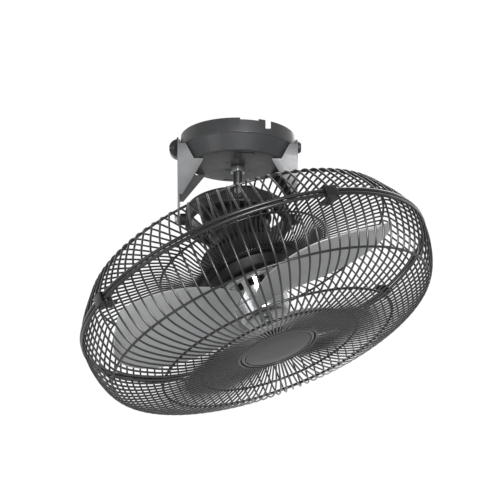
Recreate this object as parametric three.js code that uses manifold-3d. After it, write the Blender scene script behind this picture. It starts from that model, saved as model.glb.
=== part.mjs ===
// Orbital ceiling fan: a ceiling canopy with two arms carries a gimbal ring, and the ring carries the motor
// head with its wire guard and three blades. Millimetres, +Z up, origin at the centre of the ceiling plane.
// Inside the head, distances run forward from the gimbal centre, so a point at distance s lies at z = -s.
import * as THREE from 'three';
import { mergeVertices } from 'three/addons/utils/BufferGeometryUtils.js';
import Module from 'manifold-3d';

const wasm = await Module();
wasm.setup();

// ---------------------------------------------------------------- driving dimensions
const gap = 0.3; // clearance between touching pieces

// pose at rest, degrees
const ringTilt = -12.9;
const headTilt = -19.42;
const rotorTurn = 229.7;

// ceiling plate, canopy and stud
const canopyRadius = 77.5;
const canopyWall = 1.6;
const canopyHeight = 41;
const canopyBand = 19;
const canopyStep = 1.2;
const canopyFaceRadius = 65;
const canopySides = 36;
const plateThickness = 2.5;
const plateScrewSpacing = 100;
const plateSlotRadius = 2.75;
const plateSlotLength = 18;
const tabWidth = 18;
const tabLength = 16;
const cableHoleRadius = 9;
const cableHoleCentre = [25, -22];
const plateHalfWidth = 38;
const studRadius = 6;
const nutAcross = 19;
const nutHeight = 8;
const crossPinRadius = 1.1;
const crossPinLength = 33;

// arms and gimbal
const gimbalDrop = 115;
const armThickness = 1.8;
const armTop = 15;
const armTabTop = 5;
const armTabHalf = 9;
const armHalfDepth = 36;
const armNeckHalfDepth = 14;
const armNeckHeight = 20;
const armEndRadius = 7.5;
const flangeReach = 34;
const flangeEnd = 85;
const flangeEndWidth = 6;
const armBoltDrop = 13;
const armBoltRadius = 3;
const pivotRadius = 3;
const boltHeadRadius = 5;
const boltHeadHeight = 3.6;
const earRadius = 13;
const earThickness = 16;
const earFootWidth = 26;
const earDrop = 3.4;
const earSlotHalf = 1.8;
const bushWall = 1.4;
const ringInnerRadius = 62;
const ringOuterRadius = 70;
const ringHalfHeight = 11;
const bossRadius = 8;

// swing gear case and crank
const caseRadius = 44;
const caseWall = 3;
const caseRise = 22;
const caseFloor = 18;
const neckRadius = 37;
const neckFlange = 2;
const crankReach = 42;
const crankBallRadius = 4.5;
const crankPinRadius = 2.5;
const crankShaftRadius = 5;
const crankArmThickness = 3.5;
const gearModule = 1.5;
const gearTeeth = 24;
const pinionTeeth = 8;
const gearWidth = 6;
const swingMotorRadius = 15;

// motor
const motorOffset = -12.66;
const motorRadius = 58.4;
const motorWall = 3;
const motorTop = 42;
const motorShoulder = 8;
const housingStep = 1.6;
const ventCount = 24;
const ventHalfWidth = 2;
const ventStart = 48;
const ventLength = 4;
const housingEnd = 78;
const bellEnd = 96;
const bellFaceRadius = 50;
const shaftRadius = 5;
const bearingRadius = 13;
const statorStart = 56;
const statorLength = 21;
const rotorRadius = 27.4;

// hub and blades
const hubStart = 99.5;
const hubRearRadius = 45.5;
const hubWaist = 125;
const hubWaistRadius = 36.5;
const hubEnd = 149;
const hubFrontRadius = 33;
const hubWall = 3.2;
const hubSlotCount = 17;
const hubSlotHalf = 5.1;
const hubSlotStart = 106;
const hubSlotLength = 9;
const hubSlotTurn = 5.84;
const hubNutRadius = 9;
const hubNutHeight = 6;
const shaftOverhang = 8;
const bladeCount = 3;
const bladeRadius = 200;
const bladeStart = 119.7;
const bladeRise = 25.5;
const bladeThickness = 2.2;
const bladeMidRadius = 120;
const bladeEdgeTurn = [0, -11.5, -4.9]; // degrees at mid radius, then slope and bend towards the tip
const bladeWidthTurn = [80.7, -33, -12.3];
const tipRounding = 45;
const leadingTurn = 5.8;
const trailingTurn = 13.4;
const bladeRows = 6;
const bladeColumns = 6;

// guards
const beltRadius = 231;
const beltDepth = 113.5;
const beltWire = 2.2;
const beltSegments = 48;
const spokeWire = 1.5;
const hoopWire = 1.6;
const spokeCount = 30;
const seatRadius = 66;
const seatDepth = 80.3;
const seatWire = 2;
const rearShoulderRadius = 203;
const rearFaceDepth = 58;
const dishRadius = 112;
const dishFloorRadius = 78;
const frontShoulderRadius = 220;
const frontFaceDepth = 198;
const capRingRadius = 52;
const capDepth = 190.5;
const clipAngles = [33, 111, 213, 291];
const clipWidth = 16;
const clipThickness = 1.8;
const clipReach = 17;
const clipScrewRadius = 2;

// ---------------------------------------------------------------- materials
const paint = (color, roughness, metalness) =>
  new THREE.MeshStandardMaterial({ color, roughness, metalness });
const charcoal = paint(0x434446, 0.5, 0.3);
const armGrey = paint(0x6a6b6d, 0.45, 0.5);
const black = paint(0x19191a, 0.45, 0.2);
const wireGrey = paint(0x2c2d2f, 0.4, 0.5);
const bladeGrey = paint(0x8c8e90, 0.35, 0.6);
const hubGrey = paint(0xb4b6b8, 0.2, 0.8);
const steel = paint(0xa8aaac, 0.3, 0.9);
const gloss = paint(0x0c0c0d, 0.1, 0.1);
const brass = paint(0xb08d4a, 0.35, 0.9);
const nylon = paint(0xd8d5c8, 0.6, 0);
const rubber = paint(0x1d1d1d, 0.9, 0);
const copper = paint(0xa5552e, 0.4, 0.8);

// ---------------------------------------------------------------- solid helpers
const radians = THREE.MathUtils.degToRad;

// merges shared vertices, drops collapsed triangles and turns every face outward
function closed(source) {
  const plain = new THREE.BufferGeometry();
  plain.setAttribute('position', source.getAttribute('position').clone());
  if (source.index) plain.setIndex(source.index.clone());
  const merged = mergeVertices(plain, 1e-4);
  const index = merged.index.array;
  const position = merged.getAttribute('position');
  const corner = [0, 1, 2].map(() => new THREE.Vector3());
  const kept = [];
  let volume = 0;
  for (let i = 0; i < index.length; i += 3) {
    const [a, b, c] = [index[i], index[i + 1], index[i + 2]];
    if (a === b || b === c || c === a) continue;
    kept.push(a, b, c);
    corner.forEach((point, k) => point.fromBufferAttribute(position, index[i + k]));
    volume += corner[0].dot(corner[1].clone().cross(corner[2]));
  }
  merged.setIndex(volume < 0 ? kept.reverse() : kept);
  return merged;
}

function toSolid(geometry) {
  const ready = closed(geometry);
  const vertProperties = new Float32Array(ready.getAttribute('position').array);
  return new wasm.Manifold(
    new wasm.Mesh({ numProp: 3, vertProperties, triVerts: new Uint32Array(ready.index.array) }),
  );
}

function toGeometry(solid) {
  const mesh = solid.getMesh();
  const geometry = new THREE.BufferGeometry();
  const stride = mesh.numProp;
  const count = mesh.vertProperties.length / stride;
  const position = new Float32Array(count * 3);
  for (let i = 0; i < count; i += 1) {
    position.set(mesh.vertProperties.subarray(i * stride, i * stride + 3), i * 3);
  }
  geometry.setAttribute('position', new THREE.BufferAttribute(position, 3));
  geometry.setIndex(Array.from(mesh.triVerts));
  return geometry;
}

const joinSolids = (list) => list.map(toSolid).reduce((sum, next) => sum.add(next));
const join = (...parts) => toGeometry(joinSolids(parts));
const cut = (base, tools) => toGeometry(toSolid(base).subtract(joinSolids(tools)));

const block = (x0, x1, y0, y1, z0, z1) =>
  new THREE.BoxGeometry(x1 - x0, y1 - y0, z1 - z0).translate((x0 + x1) / 2, (y0 + y1) / 2, (z0 + z1) / 2);

const post = (radius, z0, z1, sides = 12) =>
  new THREE.CylinderGeometry(radius, radius, z1 - z0, sides)
    .rotateX(Math.PI / 2)
    .translate(0, 0, (z0 + z1) / 2);

const barX = (radius, x0, x1, sides = 12) => post(radius, x0, x1, sides).rotateY(Math.PI / 2);
const barY = (radius, y0, y1, sides = 12) => post(radius, -y1, -y0, sides).rotateX(Math.PI / 2);

// turns a profile of [radius, z] points about Z; a profile off the axis closes on itself
function turned(profile, segments = 48) {
  const points = profile.map(([r, z]) => new THREE.Vector2(r, z));
  if (profile[0][0] > 0) points.push(points[0].clone());
  return new THREE.LatheGeometry(points, segments).rotateX(Math.PI / 2);
}

// the same for a profile of [radius, distance forward of the gimbal centre]
const turnedForward = (profile, segments) => turned(profile.map(([r, s]) => [r, -s]), segments);

const sleeve = (inner, outer, z0, z1, segments = 16) =>
  turned([[inner, z0], [outer, z0], [outer, z1], [inner, z1]], segments);

const hoop = (radius, depth, wire, sides = 3, segments = 60) =>
  new THREE.TorusGeometry(radius, wire, sides, segments).translate(0, 0, -depth);

// prism of an outline drawn in the XY, YZ or XZ plane
function prism(outline, depth, plane = 'XY') {
  const shape = new THREE.Shape(outline.map(([u, v]) => new THREE.Vector2(u, v)));
  const geometry = new THREE.ExtrudeGeometry(shape, { depth, bevelEnabled: false });
  const [x, y, z] = [new THREE.Vector3(1, 0, 0), new THREE.Vector3(0, 1, 0), new THREE.Vector3(0, 0, 1)];
  if (plane === 'YZ') geometry.applyMatrix4(new THREE.Matrix4().makeBasis(y, z, x));
  if (plane === 'XZ') geometry.applyMatrix4(new THREE.Matrix4().makeBasis(x, z, y.negate()));
  return geometry;
}

// three-sided wire along a smooth curve through [radius, distance forward] points, in the XZ plane
function spoke(path, wire, steps) {
  const points = path.map(([r, s]) => new THREE.Vector3(r, 0, -s));
  const curve = new THREE.CatmullRomCurve3(points, false, 'centripetal');
  const corners = [[wire, 0], [-wire / 2, wire * 0.866], [-wire / 2, -wire * 0.866]];
  const section = new THREE.Shape(corners.map(([u, v]) => new THREE.Vector2(u, v)));
  return new THREE.ExtrudeGeometry(section, { steps, bevelEnabled: false, extrudePath: curve });
}

const around = (count, make, start = 0) =>
  Array.from({ length: count }, (_, i) => make(i).rotateZ(radians(start + (360 * i) / count)));

function add(group, name, geometry, material) {
  const mesh = new THREE.Mesh(closed(geometry), material);
  mesh.name = name;
  group.add(mesh);
}

// ---------------------------------------------------------------- ceiling mount
const stepBottom = canopyBand + canopyStep;
const edgeChamfer = 1.5;

// outer radius of the canopy's tapered lower wall at a depth below the ceiling
function canopyRadiusAt(depth) {
  const share = (depth - stepBottom) / (canopyHeight - edgeChamfer - stepBottom);
  const rear = canopyRadius - canopyStep;
  return rear + (canopyFaceRadius + edgeChamfer - rear) * Math.min(share, 1);
}

function canopy() {
  const hole = studRadius + gap;
  const inner = canopyRadius - canopyWall;
  const shell = turned([
    [canopyRadius, 0],
    [canopyRadius, -canopyBand],
    [canopyRadius - canopyStep, -stepBottom],
    [canopyFaceRadius + edgeChamfer, -canopyHeight + edgeChamfer],
    [canopyFaceRadius, -canopyHeight],
    [hole, -canopyHeight],
    [hole, -canopyHeight + canopyWall],
    [canopyFaceRadius - canopyWall, -canopyHeight + canopyWall],
    [inner - canopyStep, -stepBottom],
    [inner, -canopyBand],
    [inner, 0],
  ], canopySides);
  const floor = -canopyHeight - 1;
  const rim = -canopyRadius - 2;
  const notchBottom = 12;
  return cut(shell, [
    block(0, 22, -59, -53, floor, floor + 4),
    block(-20, -7, 53.5, 56.5, floor, floor + 4),
    block(3, 27, rim, rim / 2, -2.5, 1),
    block(36, 43, rim, rim / 2, -notchBottom, 1),
    barX(armBoltRadius + gap, -canopyRadius - 2, canopyRadius + 2).translate(0, 0, -armBoltDrop),
  ]);
}

function mountingPlate() {
  const radius = canopyRadius - canopyWall - gap;
  const tabOuter = Math.sqrt(radius ** 2 - (tabWidth / 2) ** 2) - gap;
  const side = plateHalfWidth;
  const disc = turned([[0, -plateThickness], [radius, -plateThickness], [radius, 0], [0, 0]], canopySides);
  const tabs = [1, -1].map((end) =>
    block(tabOuter - plateThickness, tabOuter, -tabWidth / 2, tabWidth / 2, -tabLength - plateThickness, -1)
      .rotateZ(end > 0 ? 0 : Math.PI));
  const slotEnd = plateSlotLength / 2 - plateSlotRadius;
  const slotShape = () => join(
    block(-slotEnd, slotEnd, -plateSlotRadius, plateSlotRadius, -plateThickness - 1, 1),
    post(plateSlotRadius, -plateThickness - 1, 1).translate(slotEnd, 0, 0),
    post(plateSlotRadius, -plateThickness - 1, 1).translate(-slotEnd, 0, 0),
  );
  const slots = [1, -1].map((end) => slotShape().translate((end * plateScrewSpacing) / 2, 0, 0));
  const cable = post(cableHoleRadius, -plateThickness - 1, 1, 24).translate(...cableHoleCentre, 0);
  const trims = [1, -1].map((end) => block(
    -canopyRadius, canopyRadius, Math.min(end * side, end * canopyRadius), Math.max(end * side, end * canopyRadius),
    -plateThickness - 1, 1,
  ));
  const bolts = barX(armBoltRadius + gap, -canopyRadius, canopyRadius).translate(0, 0, -armBoltDrop);
  return cut(join(disc, ...tabs), [...slots, ...trims, cable, bolts]);
}

function cableGrommet() {
  const lip = 2;
  const groove = cableHoleRadius - gap;
  const under = -plateThickness - gap;
  return turned([
    [groove - lip, -plateThickness - gap - lip],
    [groove + lip, -plateThickness - gap - lip],
    [groove + lip, under],
    [groove, under],
    [groove, -gap],
    [groove - lip, -gap],
  ], 16).translate(...cableHoleCentre, 0);
}

const underPlate = -plateThickness - gap;
const studEnd = -gimbalDrop + crankReach + crankBallRadius + 1;
const nutTop = -canopyHeight - gap;
const crossPinHeight = nutTop - nutHeight / 2;

const crossPinHole = () => barX(crossPinRadius + gap, -nutAcross, nutAcross).translate(0, 0, crossPinHeight);

const swingStud = () => cut(post(studRadius, studEnd, underPlate), [crossPinHole()]);

function studNut() {
  const hexagon = post(nutAcross / Math.sqrt(3), nutTop - nutHeight, nutTop, 6);
  return cut(hexagon, [post(studRadius + gap, nutTop - nutHeight - 1, nutTop + 1), crossPinHole()]);
}

const crossPin = () =>
  barX(crossPinRadius, -crossPinLength / 2, crossPinLength / 2).translate(0, 0, crossPinHeight);

const terminalBlock = () => block(-46, -14, 14, 30, underPlate - 14, underPlate);
const runCapacitor = () => block(-50, -14, -34, -14, underPlate - 24, underPlate);

// ---------------------------------------------------------------- arms and pivots (drawn on the +X side)
const webInner = canopyRadius + gap;
const webOuter = webInner + armThickness;

function armFlange() {
  const inner = armHalfDepth - armThickness;
  const edgeX = (depth) => Math.sqrt((canopyRadiusAt(depth) + 2 * gap) ** 2 - inner ** 2);
  const top = -stepBottom;
  const face = -canopyHeight - gap;
  const neck = -gimbalDrop + armNeckHeight;
  const tip = webOuter - flangeReach;
  const upper = prism([
    [webOuter, top],
    [webOuter, face],
    [edgeX(canopyHeight), face],
    [edgeX(stepBottom), top],
  ], armThickness, 'XZ');
  const lower = prism([
    [webOuter, face],
    [webOuter, -flangeEnd],
    [webOuter - flangeEndWidth, -flangeEnd],
    [tip, face - armThickness],
    [tip, face],
  ], armThickness, 'XZ');
  const position = lower.getAttribute('position');
  const lean = (armHalfDepth - armNeckHalfDepth) / (face - neck);
  for (let i = 0; i < position.count; i += 1) {
    position.setY(i, position.getY(i) - (face - position.getZ(i)) * lean);
  }
  return join(upper, lower).translate(0, armHalfDepth, 0);
}

function arm() {
  const face = -canopyHeight - gap;
  const neck = -gimbalDrop + armNeckHeight;
  const end = Array.from({ length: 9 }, (_, i) => {
    const turn = (Math.PI * i) / 8;
    return [-Math.cos(turn) * armEndRadius, -gimbalDrop - Math.sin(turn) * armEndRadius];
  });
  const web = prism([
    [armHalfDepth, -armTop],
    [armTabHalf + 4, -armTop],
    [armTabHalf, -armTabTop],
    [-armTabHalf, -armTabTop],
    [-armTabHalf - 4, -armTop],
    [-armHalfDepth, -armTop],
    [-armHalfDepth, face],
    [-armNeckHalfDepth, neck],
    ...end,
    [armNeckHalfDepth, neck],
    [armHalfDepth, face],
  ], armThickness, 'YZ').translate(webInner, 0, 0);
  const front = armFlange();
  const rear = armFlange().scale(1, -1, 1);
  return cut(join(web, front, rear), [
    barX(pivotRadius + bushWall + 2 * gap, webInner - 2, webOuter + 2).translate(0, 0, -gimbalDrop),
    barX(armBoltRadius + gap, webInner - 2, webOuter + 2).translate(0, 0, -armBoltDrop),
  ]);
}

const boltInnerFace = () => Math.sqrt((canopyRadius - canopyWall - gap) ** 2 - (tabWidth / 2) ** 2)
  - plateThickness - 2 * gap;
const boltEnd = webOuter + 5;

function armBolt() {
  const inner = boltInnerFace();
  return join(barX(armBoltRadius, inner - 1, boltEnd), barX(boltHeadRadius, inner - 4, inner, 6))
    .translate(0, 0, -armBoltDrop);
}

function thumbNut() {
  const inner = webOuter + gap;
  const body = join(barX(8, inner, inner + 4, 16), barX(6.5, inner + 3, inner + 6, 16));
  return cut(body, [barX(armBoltRadius + gap, inner - 1, boltEnd + gap)]).translate(0, 0, -armBoltDrop);
}

// rounded ear on the other bolt, with a slot for a safety cord
function safetyEar() {
  const inner = webOuter + gap;
  const radius = earRadius;
  const arc = Array.from({ length: 13 }, (_, i) => {
    const turn = -Math.PI / 2 + (Math.PI * i) / 12;
    return [inner + 4 + Math.cos(turn) * radius, Math.sin(turn) * radius];
  });
  const tongue = prism([[inner, -radius], ...arc, [inner, radius]], earThickness, 'XZ')
    .translate(0, earThickness / 2, 0);
  const foot = block(inner, inner + 2.5, -earFootWidth / 2, earFootWidth / 2, -radius, radius);
  return cut(join(tongue, foot), [
    barX(armBoltRadius + gap, inner - 1, boltEnd + gap).translate(0, 0, earDrop),
    block(inner + 6, inner + 13, -earThickness, earThickness, -earSlotHalf, earSlotHalf),
  ]).translate(0, 0, -armBoltDrop - earDrop);
}

const ringBossEnd = webInner - 1.7;

// flanged bush that lines the arm's pivot hole
function pivotBush() {
  const bore = pivotRadius + gap;
  const flange = ringBossEnd + gap;
  return turned([
    [bore, flange],
    [bossRadius, flange],
    [bossRadius, webInner - gap],
    [bore + bushWall, webInner - gap],
    [bore + bushWall, webOuter + gap],
    [bore, webOuter + gap],
  ], 12).rotateY(Math.PI / 2).translate(0, 0, -gimbalDrop);
}

function pivotBolt() {
  const headInner = webOuter + 2 * gap;
  return join(
    barX(pivotRadius, ringInnerRadius + 1, headInner + 1),
    barX(boltHeadRadius, headInner, headInner + boltHeadHeight, 6),
  );
}

// ---------------------------------------------------------------- gimbal ring
const ringBossInner = 57;
const ringBossOuter = 73;

function gimbalRing() {
  const edge = 2;
  const band = turned([
    [ringInnerRadius, -ringHalfHeight],
    [ringOuterRadius - edge, -ringHalfHeight],
    [ringOuterRadius, -ringHalfHeight + edge],
    [ringOuterRadius, ringHalfHeight - edge],
    [ringOuterRadius - edge, ringHalfHeight],
    [ringInnerRadius, ringHalfHeight],
  ], 32);
  const bosses = [
    barX(bossRadius, ringInnerRadius + 1, ringBossEnd),
    barX(bossRadius, -ringBossEnd, -ringInnerRadius - 1),
    barY(bossRadius, ringBossInner, ringBossOuter),
    barY(bossRadius, -ringBossOuter, -ringBossInner),
  ];
  return cut(join(band, ...bosses), [
    barX(pivotRadius + gap, -canopyRadius, canopyRadius),
    barY(pivotRadius + gap, -canopyRadius, canopyRadius),
  ]);
}

const caseBossEnd = ringBossInner - 1.3;

const trunnionPin = () => join(
  barY(pivotRadius, caseRadius + 2, ringBossOuter + 1),
  barY(boltHeadRadius, ringBossOuter + gap, ringBossOuter + boltHeadHeight, 6),
);

const trunnionWasher = () => cut(
  barY(bossRadius - 1, caseBossEnd + gap, ringBossInner - gap),
  [barY(pivotRadius + gap, 0, canopyRadius)],
);

// ---------------------------------------------------------------- swing gear case, on the gimbal centre
const caseInner = caseRadius - caseWall;
const caseBottom = motorTop - gap;
const floorTop = -caseFloor + caseWall;
const flangeThickness = 3;

function gearCase() {
  const cup = turned([
    [neckRadius - caseWall, -caseBottom],
    [neckRadius + neckFlange, -caseBottom],
    [neckRadius + neckFlange, -caseBottom + flangeThickness],
    [neckRadius, -caseBottom + flangeThickness],
    [neckRadius, -caseFloor - 2],
    [caseRadius, -caseFloor + 4],
    [caseRadius, caseRise],
    [caseInner, caseRise],
    [caseInner, floorTop + 2],
    [caseInner - 2, floorTop],
    [6, floorTop],
    [6, -caseFloor],
    [neckRadius - caseWall, -caseFloor],
  ], 24);
  const floorPlug = post(7, -caseFloor, floorTop);
  const bosses = [
    barY(bossRadius, caseInner + 1, caseBossEnd),
    barY(bossRadius, -caseBossEnd, -caseInner - 1),
  ];
  return cut(join(cup, floorPlug, ...bosses), [
    barY(pivotRadius + gap, caseInner + 2.5, canopyRadius),
    barY(pivotRadius + gap, -canopyRadius, -caseInner - 2.5),
    post(4, -caseFloor - 1, floorTop + 1).translate(28, 0, 0),
  ]);
}

const coverBottom = caseRise + gap;
const coverTop = coverBottom + caseWall;
const coverBoss = coverTop + 2.5;
const crankBushRadius = crankShaftRadius + gap + 2.5;

const caseCover = () => turned([
  [crankBushRadius + gap, coverBottom],
  [caseRadius, coverBottom],
  [caseRadius, coverTop - 1],
  [caseRadius - 1, coverTop],
  [15, coverTop],
  [12, coverBoss],
  [crankBushRadius + gap, coverBoss],
], 24);

const crankBush = () => turned([
  [crankShaftRadius + gap, coverBottom - 2],
  [crankBushRadius + 3, coverBottom - 2],
  [crankBushRadius + 3, coverBottom - gap],
  [crankBushRadius, coverBottom - gap],
  [crankBushRadius, coverBoss],
  [crankShaftRadius + gap, coverBoss],
], 16);

// spur gear with straight-flanked teeth and a bore
function gear(teeth, bore, z0, z1) {
  const pitch = (gearModule * teeth) / 2;
  const tip = pitch + gearModule * 0.8;
  const root = pitch - gearModule * 1.1;
  const outline = [];
  for (let i = 0; i < teeth; i += 1) {
    [[root, 0.02], [tip, 0.17], [tip, 0.33], [root, 0.48]].forEach(([radius, share]) => {
      const turn = (2 * Math.PI * (i + share)) / teeth;
      outline.push([radius * Math.cos(turn), radius * Math.sin(turn)]);
    });
  }
  return cut(prism(outline, z1 - z0).translate(0, 0, z0), [post(bore, z0 - 1, z1 + 1)]);
}

const gearLevel = 8;
const gearDistance = (gearModule * (gearTeeth + pinionTeeth)) / 2 + gap;

const swingMotor = () => join(
  post(swingMotorRadius, floorTop + gap, gearLevel - 4),
  post(2, gearLevel - 5, gearLevel + gearWidth),
).translate(-gearDistance, 0, 0);

const pinion = () => gear(pinionTeeth, 2 + gap, gearLevel, gearLevel + gearWidth);
const crankGear = () => gear(gearTeeth, crankShaftRadius + gap, gearLevel, gearLevel + gearWidth);

const crankArmBottom = coverBoss + gap;
const crankArmTop = crankArmBottom + crankArmThickness;
const crankShaft = () => join(
  post(crankShaftRadius, floorTop + gap, crankArmTop),
  post(crankShaftRadius + 2.5, gearLevel - 3, gearLevel - gap),
);

// direction of the ceiling axis seen from the head at rest, which the crank ball points along
const restAxis = new THREE.Vector3(0, 0, 1)
  .applyEuler(new THREE.Euler(-radians(ringTilt), 0, 0))
  .applyEuler(new THREE.Euler(0, -radians(headTilt), 0));
const crankTurn = Math.atan2(restAxis.y, restAxis.x);
const ballOut = crankReach * Math.hypot(restAxis.x, restAxis.y);
const ballHeight = crankReach * restAxis.z;

function crankArm() {
  const plate = join(
    post(crankShaftRadius + 4, crankArmBottom, crankArmTop),
    post(crankPinRadius + 3.5, crankArmBottom, crankArmTop).translate(ballOut, 0, 0),
    block(0, ballOut, -5, 5, crankArmBottom, crankArmTop),
  );
  return cut(plate, [
    post(crankShaftRadius + gap, crankArmBottom - 1, crankArmTop + 1),
    post(crankPinRadius + gap, crankArmBottom - 1, crankArmTop + 1).translate(ballOut, 0, 0),
  ]);
}

const crankBall = () => join(
  post(crankPinRadius, crankArmBottom, ballHeight),
  new THREE.SphereGeometry(crankBallRadius, 12, 8).rotateX(Math.PI / 2).translate(0, 0, ballHeight),
).translate(ballOut, 0, 0);

// ---------------------------------------------------------------- motor (axis beside the swing axis)
const shoulderEnd = motorTop + motorShoulder;
const topRadius = motorRadius - motorShoulder;
const bodyRadius = motorRadius - housingStep;
const boreRadius = bodyRadius - motorWall + housingStep;
const bearingWall = 3;
const bearingLength = 7;
const lugThickness = 4;
const guardScrewCircle = seatRadius - seatWire - 1.8;
const guardScrewRadius = 1.5;
const guardLugStart = 45;
const lugHalfWidth = 4.5;

function motorHousing() {
  const pocket = bearingRadius + gap;
  const shell = turnedForward([
    [0, motorTop],
    [topRadius, motorTop],
    [bodyRadius, shoulderEnd],
    [bodyRadius, housingEnd],
    [boreRadius - housingStep, housingEnd],
    [boreRadius - housingStep, shoulderEnd + 1],
    [topRadius - 1, motorTop + motorWall],
    [pocket + bearingWall, motorTop + motorWall],
    [pocket + bearingWall, motorTop + motorWall + bearingLength],
    [pocket, motorTop + motorWall + bearingLength],
    [pocket, motorTop + motorWall],
    [0, motorTop + motorWall],
  ], 24);
  const vents = around(ventCount, () => block(
    topRadius - 5, motorRadius + 5, -ventHalfWidth, ventHalfWidth, -ventStart - ventLength, -ventStart));
  return cut(shell, vents);
}

// housing with the lugs that carry the guard
function housingWithLugs() {
  const lugRear = -housingEnd + lugThickness;
  const lugs = around(4, () =>
    block(bodyRadius - 1, seatRadius + 1, -lugHalfWidth, lugHalfWidth, -housingEnd, lugRear), guardLugStart);
  const holes = around(4, () => post(guardScrewRadius + gap, -housingEnd - 1, lugRear + 1)
    .translate(guardScrewCircle, 0, 0), guardLugStart);
  return cut(join(motorHousing(), ...lugs), holes);
}

// ring clamp before the guard's inner hoop, with its four screws
function guardClamp() {
  const rear = -seatDepth - seatWire - gap;
  const front = rear - 1.8;
  const screws = around(4, () => join(
    post(guardScrewRadius, front + 0.5, -housingEnd + lugThickness + 2.5, 12),
    post(3.2, front - 2, front + 0.5, 6),
  ).translate(guardScrewCircle, 0, 0), guardLugStart);
  return join(sleeve(motorRadius + 2 * gap, seatRadius + seatWire, front, rear, 24), ...screws);
}

function frontBell() {
  const pocket = bearingRadius + gap;
  const start = housingEnd + gap;
  const face = bellEnd - motorWall;
  return turnedForward([
    [motorRadius, start],
    [motorRadius, start + 6],
    [bellFaceRadius + 2, bellEnd - 1.5],
    [bellFaceRadius, bellEnd],
    [shaftRadius + 2 * gap, bellEnd],
    [shaftRadius + 2 * gap, face + 0.5],
    [pocket, face + 0.5],
    [pocket, face - bearingLength],
    [pocket + bearingWall, face - bearingLength],
    [pocket + bearingWall, face],
    [bellFaceRadius - 1, face],
    [boreRadius - housingStep, start + 5],
    [boreRadius - housingStep, start],
  ], 24);
}

const bellBoltCircle = 40;
const bellBoltRadius = 1.9;
const bellBoltStart = 20;

function drilledBell() {
  const holes = around(4, () =>
    post(bellBoltRadius + gap, -bellEnd - 1, -bellEnd + 6).translate(bellBoltCircle, 0, 0), bellBoltStart);
  return cut(frontBell(), holes);
}

const bellBolt = () => join(
  post(bellBoltRadius, -bellEnd - 1, -bellEnd + 5, 12),
  post(3.8, -bellEnd - gap - 2.3, -bellEnd - gap, 6),
).translate(bellBoltCircle, 0, 0);

const rearBearingStart = motorTop + motorWall + gap;
const frontBearingStart = bellEnd - motorWall - bearingLength;
const bearing = (start) => sleeve(shaftRadius + gap, bearingRadius, -start - bearingLength + gap, -start);
const statorEnd = statorStart + statorLength;
const stator = () => sleeve(rotorRadius + 0.6, boreRadius - housingStep - gap, -statorEnd, -statorStart, 24);
const rotorCore = () => sleeve(shaftRadius + gap, rotorRadius, -statorEnd + 1, -statorStart - 1, 24);
const windingRadius = 4.4;
const windingCircle = 39;
const winding = (depth) => hoop(windingCircle, depth, windingRadius, 6, 16);

const shaftEnd = hubEnd + shaftOverhang;
const motorShaft = () => turnedForward([
  [0, rearBearingStart],
  [shaftRadius, rearBearingStart],
  [shaftRadius, hubEnd],
  [shaftRadius - 1, hubEnd],
  [shaftRadius - 1, shaftEnd],
  [0, shaftEnd],
], 24);

// ---------------------------------------------------------------- hub and blades
function hubRadiusAt(s) {
  if (s < hubWaist) {
    return hubRearRadius + ((hubWaistRadius - hubRearRadius) * (s - hubStart)) / (hubWaist - hubStart);
  }
  return hubWaistRadius + ((hubFrontRadius - hubWaistRadius) * (s - hubWaist)) / (hubEnd - 4 - hubWaist);
}

function bladeHub() {
  const bore = shaftRadius + gap;
  const boss = bore + 7;
  const shell = turnedForward([
    [hubRearRadius, hubStart],
    [hubWaistRadius, hubWaist],
    [hubFrontRadius, hubEnd - 4],
    [hubFrontRadius - 4, hubEnd],
    [bore, hubEnd],
    [bore, hubStart + 18],
    [boss, hubStart + 18],
    [boss, hubEnd - 2 * hubWall],
    [hubFrontRadius - hubWall - 3, hubEnd - 2 * hubWall],
    [hubWaistRadius - hubWall, hubWaist],
    [hubRearRadius - hubWall, hubStart],
  ], 24);
  const slots = around(hubSlotCount, () =>
    block(hubWaistRadius - hubWall, hubRearRadius + 3, -hubSlotHalf, hubSlotHalf,
      -hubSlotStart - hubSlotLength, -hubSlotStart), hubSlotTurn);
  return cut(shell, slots);
}

const hubNut = () => cut(
  post(hubNutRadius, -hubEnd - gap - hubNutHeight, -hubEnd - gap, 6),
  [post(shaftRadius - 1 + gap, -hubEnd - shaftOverhang, -hubEnd + 1)],
);

// blade outline in degrees: the leading edge and the blade's width change with the share of its outer reach
const bladeShare = (radius) => (radius - bladeMidRadius) / (bladeRadius - bladeMidRadius);
const alongBlade = ([level, slope, bend], radius) => {
  const q = bladeShare(radius);
  return level + slope * q + bend * q * q;
};

function bladePoint(u, v) {
  const depth = bladeStart + bladeRise * v;
  const root = hubRadiusAt(depth) + 2.5 * gap;
  const radius = root + (bladeRadius - root) * u;
  const near = Math.max(0, (radius - (bladeRadius - tipRounding)) / tipRounding);
  const shrink = 1 - Math.sqrt(Math.max(0, 1 - near * near));
  const edge = alongBlade(bladeEdgeTurn, radius);
  const from = edge - leadingTurn * shrink;
  const to = edge - alongBlade(bladeWidthTurn, radius) + trailingTurn * shrink;
  const turn = radians(from + (to - from) * v);
  return new THREE.Vector3(radius * Math.cos(turn), radius * Math.sin(turn), -depth);
}

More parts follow.
